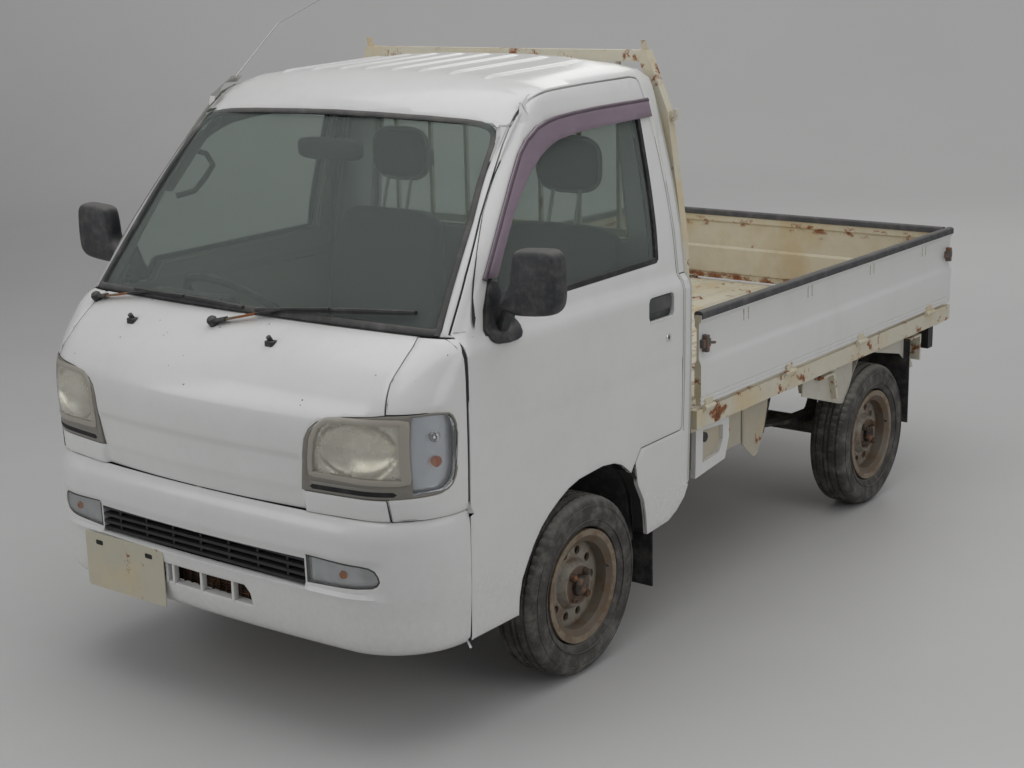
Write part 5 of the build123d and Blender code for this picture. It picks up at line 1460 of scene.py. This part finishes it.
for side, sign in SIDES:
    hanger = Form()
    hanger.prism(HANGER, sign * 636, sign * 640)
    hanger.slab(*side_box(sign, 520, 640, 1870, 1876, 430, 592), 2, 1)
    hanger.slab(*side_box(sign, 560, 640, 1690, 1862, 430, 590), 6, 2)
    hanger.piece(f"{side}_spring_hanger", frame_cream, slot="frame_paint", sharp=30)
    house = Form()
    for panel in WING_PANELS:
        house.prism(panel, sign * 686, sign * 690)
    house.grid([[(sign * x, y, z) for x in (560, 690)] for y, z in WING_END], 3)
    house.piece(f"{side}_wheelhouse_panels", wing_cream, slot="frame_paint", sharp=30)


# Wheels: tyres with grooves and shoulder blocks, rims with nuts, hub and valve
# Columns: across from the wheel's middle, radius
TYRE = [
    (-60, 176), (-70, 200), (-72, 222), (-69, 244), (-64, 254), (-56, 262), (-44, 265), (-42, 258),
    (-36, 258), (-34, 265.6), (-14, 266), (-12, 258.5), (-6, 258.5), (-4, 266), (4, 266), (6, 258.5),
    (12, 258.5), (14, 266), (34, 265.6), (36, 258), (42, 258), (44, 265), (56, 262), (64, 254), (69, 244),
    (72, 222), (70, 200), (60, 176), (50, 172), (-50, 172)]
SHOULDER_BLOCKS = 60
NUT_CIRCLE, HUB_FACE = 46, 45
SHOULDER_CUT, GROOVE_CUT = 3, 2.5
for name, x, y in (("front_left", WHEEL_X, FRONT_AXLE), ("front_right", -WHEEL_X, FRONT_AXLE),
                   ("rear_left", WHEEL_X, REAR_AXLE), ("rear_right", -WHEEL_X, REAR_AXLE)):
    sign = 1 if x > 0 else -1
    rings = []
    count = SHOULDER_BLOCKS * 4
    for k in range(count):
        angle = 2 * math.pi * k / count
        ring = []
        for a, r in TYRE:
            if k % 4 == 0 and 43 < abs(a) < 60 and r > 258:
                r -= SHOULDER_CUT
            elif k % 4 == 2 and abs(a) < 35 and r > 264:
                r -= GROOVE_CUT
            ring.append((x + a, y + r * math.cos(angle), HUB_Z + r * math.sin(angle)))
        rings.append(ring)
    tyre = Form().loft(rings, caps=False, wrap=True)
    for radius, wall in ((196, 70.3), (238, 70.6)):
        tyre.lathe([(-1.4, radius - 1.5), (-1.4, radius + 1.5), (1.4, radius + 1.5), (1.4, radius - 1.5)],
                   (x + sign * wall, y, HUB_Z), (1, 0, 0), 96, closed=True)
    tyre.piece(f"{name}_tread", tyre_rubber, f"{name}_wheel", "tyre_rubber", sharp=35,
               replaces=[f"{name}_tyre"])
    face = x + sign * HUB_FACE
    hub = Form().lathe([(-10, 0), (-10, 30), (8, 29), (12, 25), (14, 0)], (face, y, HUB_Z), (sign, 0, 0), 36)
    for k in range(4):
        angle = math.pi / 4 + k * math.pi / 2
        place = (face, y + NUT_CIRCLE * math.cos(angle), HUB_Z + NUT_CIRCLE * math.sin(angle))
        hub.lathe([(-6, 0), (-6, 12), (0, 12), (1, 10)], place, (sign, 0, 0), 20)
        hub.lathe([(0, 0), (0, 9.5), (12, 9.5), (14, 7), (15, 0)], place, (sign, 0, 0), 6)
    hub.piece(f"{name}_hub", hub_dark, f"{name}_wheel", "black_steel", sharp=40)
    Form().rod((x + sign * 40, y + 137, HUB_Z + 24), (x + sign * 62, y + 128, HUB_Z + 22), 3.4, 10).piece(
        f"{name}_valve", black_rubber, f"{name}_wheel", "black_rubber")


# Seats: padded cushions, backrests and headrests
def pad(middle, size, lean=0.0, power=5.0, crown=10.0, channels=(), steps=22):
    """A crowned, closed pad: middle and size in millimetres, lean in degrees about the truck's width.

    Channels are sewn lines across the width, as shares of half of it."""
    form = Form()
    channel_depth, channel_width, seam_place, seam_width, seam_depth = 5.0, 7, 0.62, 5, 2.4
    turn = Matrix.Rotation(math.radians(lean), 3, "X")
    half = [s / 2 for s in size]
    thin = half.index(min(half))
    for axis in range(3):
        for face in (-1, 1):
            rows = []
            for i in range(steps + 1):
                row = []
                for j in range(steps + 1):
                    p = [0.0, 0.0, 0.0]
                    p[axis] = face
                    p[(axis + 1) % 3] = (2 * i / steps - 1) * face
                    p[(axis + 2) % 3] = 2 * j / steps - 1
                    norm = sum(abs(c) ** power for c in p) ** (1 / power)
                    p = [c / norm for c in p]
                    point = [c * h for c, h in zip(p, half)]
                    a, b = [p[k] for k in range(3) if k != thin]
                    swell = crown * (1 - a * a) * (1 - b * b)
                    for place in channels:
                        across = (p[0] - place) * half[0] / channel_width
                        swell -= channel_depth * math.exp(-across**2) * (abs(p[thin]) > 0.4)
                    from_seam = (abs(p[thin]) - seam_place) * half[thin] / seam_width
                    seam = seam_depth * math.exp(-from_seam**2)
                    point[thin] += swell * (1 if p[thin] > 0 else -0.3)
                    pull = 1 - seam / max(half)
                    point = [c * (pull if k != thin else 1) for k, c in enumerate(point)]
                    row.append(Vector(middle) + turn @ Vector(point))
                rows.append(row)
            form.loft(rows, caps=False, closed=False)
    return form


def squared(value):
    """A cosine or sine that draws a rounded rectangle instead of an ellipse."""
    return math.copysign(abs(value) ** 0.6, value)


def soft(form, name, material, replaces=()):
    obj = form.piece(name, material, slot="seat_vinyl", sharp=180, replaces=replaces)
    fix_normals(obj.data, weld=0.0004)
    obj.data.shade_smooth()


SEAT_X, HEADREST_X, HEADREST_Z = 350, 338, 1410
for side, sign in SIDES:
    x = sign * SEAT_X
    soft(pad((x, 905, 802), (452, 515, 76), channels=(-0.55, 0.55)), f"{side}_seat_cushion", seat_cloth,
         replaces=[f"{side}_seat"])
    soft(pad((x, 1222, 1018), (444, 96, 440), lean=-9, crown=8, channels=(-0.5, 0.5)),
         f"{side}_seat_back", seat_cloth)
    x = sign * HEADREST_X
    soft(pad((x, 1304, HEADREST_Z), (228, 60, 158), lean=-3, power=3.2, crown=8), f"{side}_headrest",
         headrest_cloth)
    ring = [(x + 117 * squared(math.cos(t)), 1306, HEADREST_Z + 82 * squared(math.sin(t)))
            for t in np.linspace(0, 2 * math.pi, 64, endpoint=False)]
    Form().tube(ring, 7.0, sides=8, closed=True).piece(
        f"{side}_headrest_piping", piping_grey, slot="grey_plastic")
    posts = Form()
    for post in (x - 50, x + 50):
        posts.rod((post, 1262, 1226), (post, 1300, 1350), 6)
    posts.piece(f"{side}_headrest_posts", dull_steel, slot="grey_plastic")

# Inner mirror, grab handle and sticker
pad((-34, 645, 1503), (252, 30, 66), power=4, crown=2, steps=10).piece(
    "inner_mirror", black_plastic, slot="grey_plastic", sharp=180)
Form().rod((-34, 655, 1520), (-34, 680, 1580), 7).piece(
    "inner_mirror_arm", black_plastic, slot="grey_plastic")
GRAB_HANDLE = [(-590, 640, 1470), (-572, 660, 1462), (-566, 680, 1425), (-572, 650, 1388), (-580, 610, 1352),
               (-606, 560, 1340)]
Form().tube(GRAB_HANDLE, 9, sides=12).piece("grab_handle", grey_plastic, slot="grey_plastic", sharp=60)
sticker = cab.trace("front", [(540, 1540), (566, 1540), (562, 1572), (536, 1572)], 8.0)
cab.skin(sticker, lift=-3, grid=8, flange=1, mirror=True, edge=1).piece(
    "screen_sticker", piping_grey, slot="grey_plastic")
